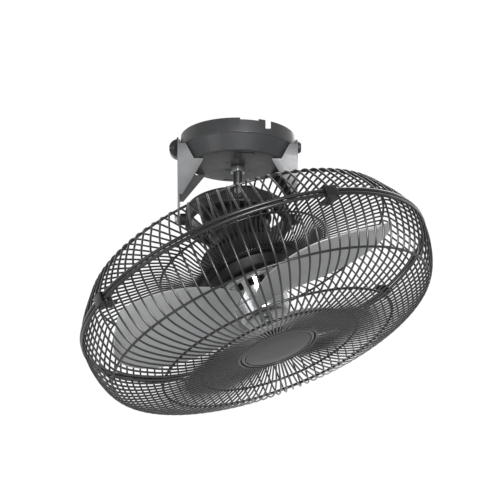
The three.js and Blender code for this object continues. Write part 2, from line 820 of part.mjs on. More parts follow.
// closed sheet with the blade's thickness along the shaft
function blade() {
  const rows = bladeRows;
  const columns = bladeColumns;
  const position = [];
  const index = [];
  const half = bladeThickness / 2;
  for (const lift of [half, -half]) {
    for (let i = 0; i <= rows; i += 1) {
      for (let j = 0; j <= columns; j += 1) {
        const p = bladePoint(1 - (1 - i / rows) ** 1.3, j / columns);
        position.push(p.x, p.y, p.z + lift);
      }
    }
  }
  const stride = columns + 1;
  const layer = (rows + 1) * stride;
  const quad = (a, b, c, d) => index.push(a, b, c, a, c, d);
  for (let i = 0; i < rows; i += 1) {
    for (let j = 0; j < columns; j += 1) {
      const a = i * stride + j;
      quad(a, a + 1, a + stride + 1, a + stride);
      quad(layer + a, layer + a + stride, layer + a + stride + 1, layer + a + 1);
    }
  }
  const side = (a, b) => quad(a, layer + a, layer + b, b);
  for (let j = 0; j < columns; j += 1) {
    side(j, j + 1);
    side(rows * stride + j + 1, rows * stride + j);
  }
  for (let i = 0; i < rows; i += 1) {
    side((i + 1) * stride, i * stride);
    side(i * stride + columns, (i + 1) * stride + columns);
  }
  const geometry = new THREE.BufferGeometry();
  geometry.setAttribute('position', new THREE.Float32BufferAttribute(position, 3));
  geometry.setIndex(index);
  return geometry;
}

// ---------------------------------------------------------------- guards
const beltHalf = beltWire + gap + 0.1;
const rearBelt = beltDepth - beltHalf;
const frontBelt = beltDepth + beltHalf;

function rearGuard() {
  const path = [
    [beltRadius, rearBelt],
    [beltRadius - 5, rearBelt - 13],
    [rearShoulderRadius + 8, rearFaceDepth + 14],
    [rearShoulderRadius + 1, rearFaceDepth + 4],
    [rearShoulderRadius - 8, rearFaceDepth],
    [150, rearFaceDepth],
    [dishRadius, rearFaceDepth + 1.5],
    [dishRadius - 9, rearFaceDepth + 5],
    [dishFloorRadius + 9, seatDepth - 5],
    [dishFloorRadius, seatDepth - 0.5],
    [seatRadius, seatDepth],
  ];
  const spokes = around(spokeCount, () => spoke(path, spokeWire, 10));
  return join(
    hoop(beltRadius, rearBelt, beltWire, 4, beltSegments),
    hoop(rearShoulderRadius - 6, rearFaceDepth + 1, hoopWire, 3, 30),
    hoop(seatRadius, seatDepth, seatWire, 4, 30),
    ...spokes,
  );
}

function frontGuard() {
  const path = [
    [beltRadius, frontBelt],
    [beltRadius - 1, frontBelt + 14],
    [frontShoulderRadius + 5, frontFaceDepth - 47],
    [frontShoulderRadius - 2, frontFaceDepth - 31],
    [frontShoulderRadius - 10, frontFaceDepth - 21],
    [frontShoulderRadius - 26, frontFaceDepth - 12],
    [152, frontFaceDepth - 1],
    [104, frontFaceDepth],
    [capRingRadius, capDepth],
  ];
  const spokes = around(spokeCount, () => spoke(path, spokeWire, 8), 6);
  return join(
    hoop(beltRadius, frontBelt, beltWire, 4, beltSegments),
    hoop(frontShoulderRadius - 9.5, frontFaceDepth - 21, hoopWire, 3, 30),
    hoop(capRingRadius, capDepth, seatWire, 4, 30),
    ...spokes,
  );
}

const clipRear = rearBelt - beltWire - gap;
const clipFront = frontBelt + beltWire + gap;
const clipOuter = beltRadius + beltWire + gap;
const clipInner = beltRadius - clipReach;
const clipScrewCircle = beltRadius - 10.5;

// bracket over both belt hoops, with the screw that closes it
function beltClip() {
  const half = clipWidth / 2;
  const screwTop = -clipFront - clipThickness;
  return join(
    block(clipOuter, clipOuter + clipThickness, -half, half, screwTop, -clipRear + clipThickness),
    block(clipInner, clipOuter + 1, -half, half, -clipRear, -clipRear + clipThickness),
    block(clipInner, clipOuter + 1, -half, half, screwTop, -clipFront),
    post(clipScrewRadius, screwTop - 1, -clipRear + clipThickness + 1, 12).translate(clipScrewCircle, 0, 0),
    post(4, screwTop - 2.2, screwTop + 0.5, 12).translate(clipScrewCircle, 0, 0),
  );
}

const capRadius = capRingRadius - seatWire - 0.7;
const discRadius = capRadius - 5.5;

const centreCap = () => turnedForward([
  [0, capDepth - 6],
  [capRingRadius + 1.5, capDepth - 6],
  [capRingRadius + 1.5, capDepth - seatWire - gap],
  [capRadius, capDepth - seatWire - gap],
  [capRadius, capDepth],
  [capRadius - 2, capDepth + 1.8],
  [discRadius + 1, capDepth + 1.8],
  [discRadius + gap, capDepth],
  [0, capDepth],
], 24);

const capDisc = () => turnedForward([
  [0, capDepth + gap],
  [discRadius, capDepth + gap],
  [discRadius - 0.5, capDepth + 1.2],
  [discRadius * 0.6, capDepth + 2.4],
  [0, capDepth + 2.9],
], 24);

// ---------------------------------------------------------------- assembly
const fan = new THREE.Group();
add(fan, 'mounting_plate', mountingPlate(), steel);
add(fan, 'canopy', canopy(), charcoal);
add(fan, 'cable_grommet', cableGrommet(), rubber);
add(fan, 'terminal_block', terminalBlock(), nylon);
add(fan, 'run_capacitor', runCapacitor(), black);
add(fan, 'swing_stud', swingStud(), steel);
add(fan, 'stud_nut', studNut(), charcoal);
add(fan, 'stud_cross_pin', crossPin(), steel);
add(fan, 'right_thumb_nut', thumbNut(), black);
add(fan, 'left_safety_ear', safetyEar().rotateZ(Math.PI), black);
for (const [side, turn] of [['right', 0], ['left', Math.PI]]) {
  add(fan, `${side}_arm`, arm().rotateZ(turn), armGrey);
  add(fan, `${side}_arm_bolt`, armBolt().rotateZ(turn), steel);
  add(fan, `${side}_pivot_bush`, pivotBush().rotateZ(turn), nylon);
}

const ring = new THREE.Group();
ring.position.z = -gimbalDrop;
ring.rotation.x = radians(ringTilt);
fan.add(ring);
add(ring, 'gimbal_ring', gimbalRing(), black);
for (const [side, turn] of [['right', 0], ['left', Math.PI]]) {
  add(ring, `${side}_pivot_bolt`, pivotBolt().rotateZ(turn), steel);
}
for (const [side, turn] of [['rear', 0], ['front', Math.PI]]) {
  add(ring, `${side}_trunnion_pin`, trunnionPin().rotateZ(turn), steel);
  add(ring, `${side}_trunnion_washer`, trunnionWasher().rotateZ(turn), nylon);
}

const head = new THREE.Group();
head.rotation.y = radians(headTilt);
ring.add(head);
add(head, 'gear_case', gearCase(), black);
add(head, 'gear_case_cover', caseCover(), black);
add(head, 'crank_bush', crankBush(), brass);
add(head, 'swing_motor', swingMotor(), steel);

const pinionGroup = new THREE.Group();
pinionGroup.position.x = -gearDistance;
head.add(pinionGroup);
add(pinionGroup, 'swing_pinion', pinion().rotateZ(radians(9)), nylon);

const crank = new THREE.Group();
crank.rotation.z = crankTurn;
head.add(crank);
add(crank, 'crank_gear', crankGear(), nylon);
add(crank, 'crank_shaft', crankShaft(), steel);
add(crank, 'crank_arm', crankArm(), steel);
add(crank, 'crank_ball', crankBall(), steel);

const motor = new THREE.Group();
motor.position.x = motorOffset;
head.add(motor);
add(motor, 'motor_housing', housingWithLugs(), black);
add(motor, 'motor_front_bell', drilledBell(), black);
add(motor, 'rear_bearing', bearing(rearBearingStart), steel);
add(motor, 'front_bearing', bearing(frontBearingStart), steel);
add(motor, 'stator_core', stator(), steel);
add(motor, 'rear_winding', winding(statorStart - windingRadius - gap), copper);
add(motor, 'front_winding', winding(statorEnd + windingRadius + gap), copper);
for (let i = 0; i < 4; i += 1) {
  add(motor, `bell_bolt_${i + 1}`, bellBolt().rotateZ(radians(bellBoltStart + 90 * i)), steel);
}
add(motor, 'guard_clamp', guardClamp(), steel);
add(motor, 'rear_guard', rearGuard(), wireGrey);
add(motor, 'front_guard', frontGuard(), wireGrey);
clipAngles.forEach((angle, i) => {
  add(motor, `belt_clip_${i + 1}`, beltClip().rotateZ(radians(angle)), wireGrey);
});
add(motor, 'centre_cap', centreCap(), wireGrey);
add(motor, 'cap_disc', capDisc(), gloss);

const rotor = new THREE.Group();
rotor.rotation.z = radians(rotorTurn);
motor.add(rotor);
add(rotor, 'rotor_core', rotorCore(), steel);
add(rotor, 'motor_shaft', motorShaft(), steel);
add(rotor, 'blade_hub', bladeHub(), hubGrey);
add(rotor, 'hub_nut', hubNut(), steel);
for (let i = 0; i < bladeCount; i += 1) {
  add(rotor, `blade_${i + 1}`, blade().rotateZ(radians((360 * i) / bladeCount)), bladeGrey);
}

export default fan;
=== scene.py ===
"""Orbital ceiling fan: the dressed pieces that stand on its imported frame.

Sizes are millimetres in the frame of each sub-assembly. Inside the motor head, z points back to the
gimbal and a distance s forward of the gimbal centre lies at z = -s.
"""
import logging
import math
from dataclasses import dataclass, field
from enum import Enum
from typing import Iterable, Sequence

import bpy
from mathutils import Euler, Matrix, Vector


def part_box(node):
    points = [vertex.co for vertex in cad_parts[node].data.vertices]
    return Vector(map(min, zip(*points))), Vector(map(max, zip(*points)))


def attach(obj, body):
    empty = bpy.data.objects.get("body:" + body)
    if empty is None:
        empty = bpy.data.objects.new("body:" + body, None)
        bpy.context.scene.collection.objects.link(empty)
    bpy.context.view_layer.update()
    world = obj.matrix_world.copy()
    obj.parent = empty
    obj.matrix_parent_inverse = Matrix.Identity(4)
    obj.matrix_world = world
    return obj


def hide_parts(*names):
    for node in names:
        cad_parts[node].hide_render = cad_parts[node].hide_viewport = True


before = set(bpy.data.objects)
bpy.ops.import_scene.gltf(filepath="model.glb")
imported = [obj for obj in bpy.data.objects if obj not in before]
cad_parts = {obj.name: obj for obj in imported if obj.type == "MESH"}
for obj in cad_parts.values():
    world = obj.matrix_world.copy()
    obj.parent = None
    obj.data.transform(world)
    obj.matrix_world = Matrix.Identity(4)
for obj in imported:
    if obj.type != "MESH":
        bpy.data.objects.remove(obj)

LOG = logging.getLogger("fan")
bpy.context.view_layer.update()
Point = Sequence[float]
Piece = bpy.types.Object
Tree = bpy.types.NodeTree
Socket = bpy.types.NodeSocket

GIMBAL_DROP = 115.0
RING_TILT = math.radians(-12.9)
HEAD_TILT = math.radians(-19.42)
MOTOR_OFFSET = -12.66
ROTOR_TURN = math.radians(229.7)
ARM_BOLT_DROP = 13.0
PIN_BORE = 3.3
METRES = 0.001
CLOUD_SCALE = 38.0
SMEAR_SCALE = 110.0
SPECK_SHARE = 0.55
SPECK_TONE = 0.82
COAT_ROUGHNESS = 0.12
BUMP_DEPTH = 0.0004
FILLET_SHARE = 0.45
WELD = 0.001


class Place(Enum):
    """The frames that pieces are drawn in, each with its place in the whole fan."""

    BASE = Matrix.Identity(4)
    RING = Matrix.Translation((0, 0, -GIMBAL_DROP)) @ Matrix.Rotation(RING_TILT, 4, "X")
    HEAD = RING @ Matrix.Rotation(HEAD_TILT, 4, "Y")
    MOTOR = HEAD @ Matrix.Translation((MOTOR_OFFSET, 0, 0))
    ROTOR = MOTOR @ Matrix.Rotation(ROTOR_TURN, 4, "Z")


class Grain(Enum):
    """The fine structure that a finish shows."""

    PAINT = "paint"
    BRUSHED = "brushed"
    TURNED = "turned"
    MOULDED = "moulded"
    CAST = "cast"
    LAYERED = "layered"


@dataclass(frozen=True)
class Finish:
    """One surface finish, made of shader nodes on object coordinates.

    Args:
        slot: The record's material slot.
        colour: Base colour, linear red, green and blue.
        rough: Mean roughness.
        metal: Metallic share.
        grain: The fine structure.
        size: Patches or lines of the grain per metre.
        relief: Strength of the bump.
        mottle: Share by which the tone varies.
        coat: Weight of the clear coat.
        place: The frame that turned or brushed lines follow.
    """

    slot: str
    colour: tuple[float, float, float]
    rough: float
    metal: float
    grain: Grain
    size: float = 900.0
    relief: float = 0.08
    mottle: float = 0.12
    coat: float = 0.0
    place: Place = Place.BASE

    def material(self) -> bpy.types.Material:
        """Returns the material of this finish, made once."""
        name = f"{self.slot}_{self.grain.value}_{self.place.name.lower()}"
        found = bpy.data.materials.get(name)
        if found:
            return found
        made = bpy.data.materials.new(name)
        made.use_nodes = True
        made.diffuse_color = (*self.colour, 1.0)
        self._wire(made.node_tree)
        return made

    def _wire(self, tree: Tree) -> None:
        """Lays out the nodes.

        Args:
            tree: The material's node tree.
        """
        shader = tree.nodes["Principled BSDF"]
        shader.inputs["Metallic"].default_value = self.metal
        if self.coat > 0:
            shader.inputs["Coat Weight"].default_value = self.coat
            shader.inputs["Coat Roughness"].default_value = COAT_ROUGHNESS
        local = self._local(tree)
        grain = self._grain(tree, local)
        cloud = self._noise(tree, local, CLOUD_SCALE, 4.0)
        low = tuple(c * (1 - self.mottle) for c in self.colour)
        high = tuple(min(1.0, c * (1 + self.mottle)) for c in self.colour)
        tone = self._ramp(tree, cloud, (0.3, (*low, 1.0)), (0.7, (*high, 1.0)))
        dark = (SPECK_TONE, SPECK_TONE, SPECK_TONE, 1.0)
        speck = self._ramp(tree, grain, (0.2, dark), (0.8, (1.0, 1.0, 1.0, 1.0)))
        mixed = tree.nodes.new("ShaderNodeMix")
        mixed.data_type = "RGBA"
        mixed.blend_type = "MULTIPLY"
        mixed.inputs["Factor"].default_value = SPECK_SHARE
        tree.links.new(tone, mixed.inputs["A"])
        tree.links.new(speck, mixed.inputs["B"])
        tree.links.new(mixed.outputs["Result"], shader.inputs["Base Color"])
        smear = self._noise(tree, local, SMEAR_SCALE, 2.0)
        spread = tree.nodes.new("ShaderNodeMapRange")
        spread.inputs["To Min"].default_value = max(0.02, self.rough * 0.82)
        spread.inputs["To Max"].default_value = min(1.0, self.rough * 1.22)
        tree.links.new(smear, spread.inputs["Value"])
        tree.links.new(spread.outputs["Result"], shader.inputs["Roughness"])
        bump = tree.nodes.new("ShaderNodeBump")
        bump.inputs["Strength"].default_value = self.relief
        bump.inputs["Distance"].default_value = BUMP_DEPTH
        tree.links.new(grain, bump.inputs["Height"])
        tree.links.new(bump.outputs["Normal"], shader.inputs["Normal"])

    def _local(self, tree: Tree) -> Socket:
        """Returns object coordinates turned into the finish's own frame."""
        where = tree.nodes.new("ShaderNodeTexCoord")
        turn = self.place.value.copy()
        turn.translation *= METRES
        back = turn.inverted()
        mapping = tree.nodes.new("ShaderNodeMapping")
        mapping.inputs["Location"].default_value = back.translation
        mapping.inputs["Rotation"].default_value = back.to_euler()
        tree.links.new(where.outputs["Object"], mapping.inputs["Vector"])
        return mapping.outputs["Vector"]

    @staticmethod
    def _noise(tree: Tree, local: Socket, scale: float,
               detail: float) -> Socket:
        """Returns the value of a noise texture."""
        noise = tree.nodes.new("ShaderNodeTexNoise")
        noise.inputs["Scale"].default_value = scale
        noise.inputs["Detail"].default_value = detail
        tree.links.new(local, noise.inputs["Vector"])
        return noise.outputs["Fac"]

    @staticmethod
    def _ramp(tree: Tree, value: Socket, low: tuple[float, tuple],
              high: tuple[float, tuple]) -> Socket:
        """Returns a colour between two stops, by a value."""
        ramp = tree.nodes.new("ShaderNodeValToRGB")
        for stop, (at, colour) in zip(ramp.color_ramp.elements, (low, high)):
            stop.position = at
            stop.color = colour
        tree.links.new(value, ramp.inputs["Fac"])
        return ramp.outputs["Color"]

    def _grain(self, tree: Tree, local: Socket) -> Socket:
        """Returns the height of the fine structure."""
        if self.grain is Grain.BRUSHED:
            stretch = tree.nodes.new("ShaderNodeMapping")
            stretch.inputs["Scale"].default_value = (self.size, 14.0, 40.0)
            tree.links.new(local, stretch.inputs["Vector"])
            return self._noise(tree, stretch.outputs["Vector"], 1.0, 3.0)
        if self.grain in (Grain.TURNED, Grain.LAYERED):
            wave = tree.nodes.new("ShaderNodeTexWave")
            wave.wave_type = "RINGS" if self.grain is Grain.TURNED else "BANDS"
            if self.grain is Grain.TURNED:
                wave.rings_direction = "Z"
            else:
                wave.bands_direction = "Z"
            wave.inputs["Scale"].default_value = self.size
            wave.inputs["Distortion"].default_value = 1.2
            wave.inputs["Detail"].default_value = 2.0
            tree.links.new(local, wave.inputs["Vector"])
            return wave.outputs["Fac"]
        if self.grain is Grain.CAST:
            cell = tree.nodes.new("ShaderNodeTexVoronoi")
            cell.inputs["Scale"].default_value = self.size
            tree.links.new(local, cell.inputs["Vector"])
            return cell.outputs["Distance"]
        return self._noise(tree, local, self.size, 3.0 if self.grain is Grain.PAINT else 6.0)


CANOPY_PAINT = Finish("canopy", (0.040, 0.041, 0.043), 0.46, 0.2, Grain.PAINT, 1400, 0.04, 0.08, 0.15)
ARM_PAINT = Finish("arm", (0.128, 0.130, 0.134), 0.46, 0.3, Grain.PAINT, 1300, 0.04, 0.08, 0.15)
RING_PAINT = Finish("ring", (0.005, 0.005, 0.006), 0.50, 0.0, Grain.CAST, 900, 0.10)
CASE_PAINT = Finish("case", (0.004, 0.004, 0.005), 0.50, 0.0, Grain.CAST, 900, 0.10, place=Place.HEAD)
MOTOR_PAINT = Finish("motor", (0.0025, 0.0025, 0.003), 0.50, 0.0, Grain.PAINT, 1200, 0.05,
                     place=Place.MOTOR)
WIRE_PAINT = Finish("wire", (0.010, 0.010, 0.011), 0.30, 0.1, Grain.PAINT, 1600, 0.04, coat=0.3,
                    place=Place.MOTOR)
BLADE_LACQUER = Finish("blade", (0.42, 0.425, 0.432), 0.44, 0.3, Grain.BRUSHED, 1500, 0.03, 0.05, 0.1,
                       place=Place.ROTOR)
HUB_POLISH = Finish("hub", (0.62, 0.63, 0.64), 0.22, 0.9, Grain.TURNED, 120, 0.004, 0.03,
                    place=Place.ROTOR)
CAP_RIM = Finish("cap_rim", (0.016, 0.016, 0.017), 0.28, 0.1, Grain.MOULDED, 1200, 0.03, coat=0.4,
                 place=Place.MOTOR)
CAP_GLOSS = Finish("cap_disc", (0.002, 0.002, 0.0022), 0.07, 0.0, Grain.MOULDED, 600, 0.002,
                   place=Place.MOTOR)
ZINC = Finish("fastener", (0.30, 0.31, 0.32), 0.34, 0.9, Grain.CAST, 1500, 0.05)
DARK_STEEL = Finish("fastener", (0.055, 0.056, 0.058), 0.42, 0.6, Grain.MOULDED, 1500, 0.05)
PLATE_ZINC = Finish("plate", (0.35, 0.36, 0.37), 0.36, 0.85, Grain.BRUSHED, 1200, 0.06)
BEARING_STEEL = Finish("bearing", (0.5, 0.5, 0.52), 0.16, 1.0, Grain.TURNED, 700, 0.04, place=Place.MOTOR)
CORE_STEEL = Finish("lamination", (0.20, 0.21, 0.22), 0.42, 0.9, Grain.LAYERED, 700, 0.25, place=Place.MOTOR)
COPPER = Finish("copper", (0.45, 0.16, 0.07), 0.30, 0.85, Grain.TURNED, 500, 0.35, place=Place.MOTOR)
BRASS = Finish("brass", (0.55, 0.40, 0.16), 0.28, 1.0, Grain.TURNED, 800, 0.05, place=Place.HEAD)
NYLON = Finish("nylon", (0.62, 0.60, 0.54), 0.50, 0.0, Grain.MOULDED, 500, 0.04)
BLACK_PLASTIC = Finish("black_plastic", (0.010, 0.010, 0.011), 0.36, 0.0, Grain.MOULDED, 1800, 0.10, coat=0.2)
RUBBER = Finish("rubber", (0.010, 0.010, 0.010), 0.80, 0.0, Grain.MOULDED, 1500, 0.2)


def clear() -> None:
    """Leaves edit mode and deselects everything."""
    if bpy.context.mode != "OBJECT":
        bpy.ops.object.mode_set(mode="OBJECT")
    bpy.ops.object.select_all(action="DESELECT")


def take(*pieces: Piece) -> None:
    """Selects pieces and makes the first one active."""
    clear()
    for piece in pieces:
        piece.select_set(True)
    bpy.context.view_layer.objects.active = pieces[0]


def edit(piece: Piece) -> None:
    """Opens a piece in edit mode with everything selected."""
    take(piece)
    bpy.ops.object.mode_set(mode="EDIT")
    bpy.ops.mesh.select_all(action="SELECT")


def path(points: Sequence[Point]) -> Piece:
    """Draws a chain of edges by extruding one vertex.

    Args:
        points: The corners of the chain.

    Returns:
        The chain as a mesh piece.
    """
    clear()
    bpy.ops.mesh.primitive_plane_add(size=1)
    piece = bpy.context.object
    edit(piece)
    bpy.ops.mesh.merge(type="CENTER")
    bpy.ops.transform.translate(value=points[0])
    for here, there in zip(points, points[1:]):
        step = Vector(there) - Vector(here)
        bpy.ops.mesh.extrude_region_move(TRANSFORM_OT_translate={"value": step})
    clear()
    return piece


def tidy(piece: Piece, reach: float = 0.002) -> Piece:
    """Merges doubles and turns the faces outward."""
    edit(piece)
    bpy.ops.mesh.remove_doubles(threshold=reach)
    bpy.ops.mesh.normals_make_consistent(inside=False)
    clear()
    return piece


def turned(profile: Sequence[Point], segments: int = 96, ring: bool = True) -> Piece:
    """Turns a profile about the z axis.

    Args:
        profile: Points as radius and z.
        segments: Steps of the full turn.
        ring: Whether the profile closes on itself.

    Returns:
        The turned piece.
    """
    points = [(r, 0.0, z) for r, z in profile]
    if ring:
        points.append(points[0])
    piece = path(points)
    edit(piece)
    bpy.ops.mesh.spin(steps=segments, angle=math.tau, center=(0, 0, 0), axis=(0, 0, 1))
    return tidy(piece)


def plate(outline: Sequence[Point], depth: Point) -> Piece:
    """Fills an outline and extrudes it.

    Args:
        outline: Corners of the flat outline.
        depth: The vector that the face is extruded by.

    Returns:
        The closed plate.
    """
    piece = path([*outline, outline[0]])
    edit(piece)
    bpy.ops.mesh.remove_doubles(threshold=WELD)
    bpy.ops.mesh.select_all(action="SELECT")
    bpy.ops.mesh.edge_face_add()
    bpy.ops.mesh.extrude_region_move(TRANSFORM_OT_translate={"value": depth})
    return tidy(piece)


def block(low: Point, high: Point) -> Piece:
    """Adds a block between two corners."""
    clear()
    middle = (Vector(low) + Vector(high)) / 2
    bpy.ops.mesh.primitive_cube_add(size=1, location=middle)
    piece = bpy.context.object
    piece.scale = Vector(high) - Vector(low)
    bpy.ops.object.transform_apply(location=True, rotation=True, scale=True)
    return piece


def rod(radius: float, start: Point, end: Point, sides: int = 24) -> Piece:
    """Adds a round rod between two points."""
    clear()
    a, b = Vector(start), Vector(end)
    turn = (b - a).to_track_quat("Z", "Y").to_euler()
    bpy.ops.mesh.primitive_cylinder_add(
        vertices=sides, radius=radius, depth=(b - a).length, location=(a + b) / 2, rotation=turn)
    bpy.ops.object.transform_apply(location=True, rotation=True, scale=True)
    return bpy.context.object


def wire(points: Sequence[Point], radius: float) -> Piece:
    """Runs a round wire along a chain of points.

    Args:
        points: The middle line.
        radius: The wire's radius.

    Returns:
        The wire as a mesh with closed ends.
    """
    take(path(points))
    bpy.ops.object.convert(target="CURVE")
    line = bpy.context.object.data
    line.dimensions = "3D"
    line.bevel_depth = radius
    line.bevel_resolution = 1
    line.use_fill_caps = True
    bpy.ops.object.convert(target="MESH")
    return bpy.context.object


def hoop(radius: float, depth: float, thick: float, segments: int) -> Piece:
    """Adds a round hoop at a distance forward of the gimbal centre."""
    clear()
    bpy.ops.mesh.primitive_torus_add(
        location=(0, 0, -depth), major_radius=radius, minor_radius=thick,
        major_segments=segments, minor_segments=8)
    bpy.ops.object.transform_apply(location=True, rotation=True, scale=True)
    return bpy.context.object


def around(piece: Piece, count: int, start: float = 0.0) -> Piece:
    """Repeats a piece round the z axis, inside its own mesh.

    Args:
        piece: The first copy, drawn at angle zero.
        count: How many copies there are in all.
        start: Angle of the first copy in degrees.

    Returns:
        The piece with all copies.
    """
    piece.data.transform(Matrix.Rotation(math.radians(start), 4, "Z"))
    edit(piece)
    bpy.ops.mesh.spin(steps=count - 1, dupli=True, angle=math.tau * (count - 1) / count,
                      center=(0, 0, 0), axis=(0, 0, 1))
    clear()
    return piece


def joined(pieces: Iterable[Piece]) -> Piece:
    """Joins pieces into one object."""
    kept = list(pieces)
    take(*kept)
    if len(kept) > 1:
        bpy.ops.object.join()
    return bpy.context.object


def apply(piece: Piece, modifier: bpy.types.Modifier) -> None:
    """Applies one modifier."""
    take(piece)
    bpy.ops.object.modifier_apply(modifier=modifier.name)


def merged(piece: Piece, tool: Piece, operation: str = "DIFFERENCE") -> Piece:
    """Cuts a tool out of a piece, or adds it, and removes the tool."""
    change = piece.modifiers.new("change", "BOOLEAN")
    change.operation = operation
    change.solver = "EXACT"
    change.object = tool
    apply(piece, change)
    bpy.data.objects.remove(tool, do_unlink=True)
    return piece


def fused(piece: Piece, extra: Piece) -> Piece:
    """Adds another piece to a piece."""
    return merged(piece, extra, "UNION")


def bored(piece: Piece, radius: float, start: Point, end: Point, sides: int = 32) -> Piece:
    """Bores a round hole through a piece between two points."""
    return merged(piece, rod(radius, start, end, sides))


def softened(piece: Piece, width: float, steps: int = 2, angle: float = 35.0) -> Piece:
    """Rounds the edges that are sharper than an angle."""
    round_off = piece.modifiers.new("edges", "BEVEL")
    round_off.width = width
    round_off.segments = steps
    round_off.limit_method = "ANGLE"
    round_off.angle_limit = math.radians(angle)
    round_off.use_clamp_overlap = True
    apply(piece, round_off)
    return piece


def turned_by(piece: Piece, degrees: float) -> Piece:
    """Turns a piece's mesh about the z axis."""
    piece.data.transform(Matrix.Rotation(math.radians(degrees), 4, "Z"))
    return piece


def filleted(corners: Sequence[tuple[float, float, float]], steps: int = 4) -> list[tuple[float, float]]:
    """Rounds the corners of a profile.

    Args:
        corners: Points as radius, z and fillet size.
        steps: Points on each rounded corner.

    Returns:
        The rounded profile as radius and z.
    """
    out: list[tuple[float, float]] = []
    count = len(corners)
    for i, (r, z, size) in enumerate(corners):
        if size <= 0:
            out.append((r, z))
            continue
        here = Vector((r, z))
        before = Vector(corners[i - 1][:2]) - here
        after = Vector(corners[(i + 1) % count][:2]) - here
        reach = min(size, before.length * FILLET_SHARE, after.length * FILLET_SHARE)
        start = here + before.normalized() * reach
        end = here + after.normalized() * reach
        for k in range(steps + 1):
            t = k / steps
            at = start * (1 - t) ** 2 + here * 2 * t * (1 - t) + end * t ** 2
            out.append((at.x, at.y))
    return out


def smooth_line(corners: Sequence[Point], per_span: int = 4) -> list[Vector]:
    """Runs a smooth line through corners given as radius and distance forward.

    Args:
        corners: The points the line goes through.
        per_span: Steps between two points.

    Returns:
        Points in the xz plane.
    """
    pts = [Vector((r, 0.0, -s)) for r, s in corners]
    ends = [pts[0] * 2 - pts[1], *pts, pts[-1] * 2 - pts[-2]]
    out = [pts[0]]
    for i in range(1, len(pts)):
        p0, p1, p2, p3 = ends[i - 1:i + 3]
        t1 = max((p1 - p0).length, 1e-6) ** 0.5
        t2 = t1 + max((p2 - p1).length, 1e-6) ** 0.5
        t3 = t2 + max((p3 - p2).length, 1e-6) ** 0.5
        for k in range(1, per_span + 1):
            t = t1 + (t2 - t1) * k / per_span
            a1 = p0 * ((t1 - t) / t1) + p1 * (t / t1)
            a2 = p1 * ((t2 - t) / (t2 - t1)) + p2 * ((t - t1) / (t2 - t1))
            a3 = p2 * ((t3 - t) / (t3 - t2)) + p3 * ((t - t2) / (t3 - t2))
            b1 = a1 * ((t2 - t) / t2) + a2 * (t / t2)
            b2 = a2 * ((t3 - t) / (t3 - t1)) + a3 * ((t - t1) / (t3 - t1))
            out.append(b1 * ((t2 - t) / (t2 - t1)) + b2 * ((t - t1) / (t2 - t1)))
    return out


def dressed(piece: Piece, name: str, body: str, finish: Finish, place: Place,
            nodes: Sequence[str] = (), angle: float = 35.0) -> Piece:
    """Puts a finished piece into the fan.

    Args:
        piece: The piece, in millimetres in its own frame.
        name: The piece's name.
        body: The CAD body it rides on.
        finish: Its finish.
        place: The frame it was drawn in.
        nodes: The CAD nodes it stands for.
        angle: Faces that meet below this angle are shaded smooth.

    Returns:
        The placed piece.
    """
    turn = place.value.copy()
    piece.data.transform(Matrix.Scale(METRES, 4) @ turn)
    piece.name = name
    piece.data.name = name
    piece.data.materials.clear()
    piece.data.materials.append(finish.material())
    take(piece)
    bpy.ops.object.shade_smooth_by_angle(angle=math.radians(angle))
    clear()
    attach(piece, body)
    if nodes:
        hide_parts(*nodes)
    LOG.info("%s: %d faces on %s", name, len(piece.data.polygons), body)
    return piece


def coat_nodes(finish: Finish, *names: str) -> None:
    """Gives CAD nodes that keep their shape a finish."""
    for name in names:
        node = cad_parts[name]
        material = finish.material()
        if node.material_slots:
            for place in node.material_slots:
                place.material = material
        else:
            node.data.materials.append(material)
        LOG.info("%s: finish %s", name, finish.slot)


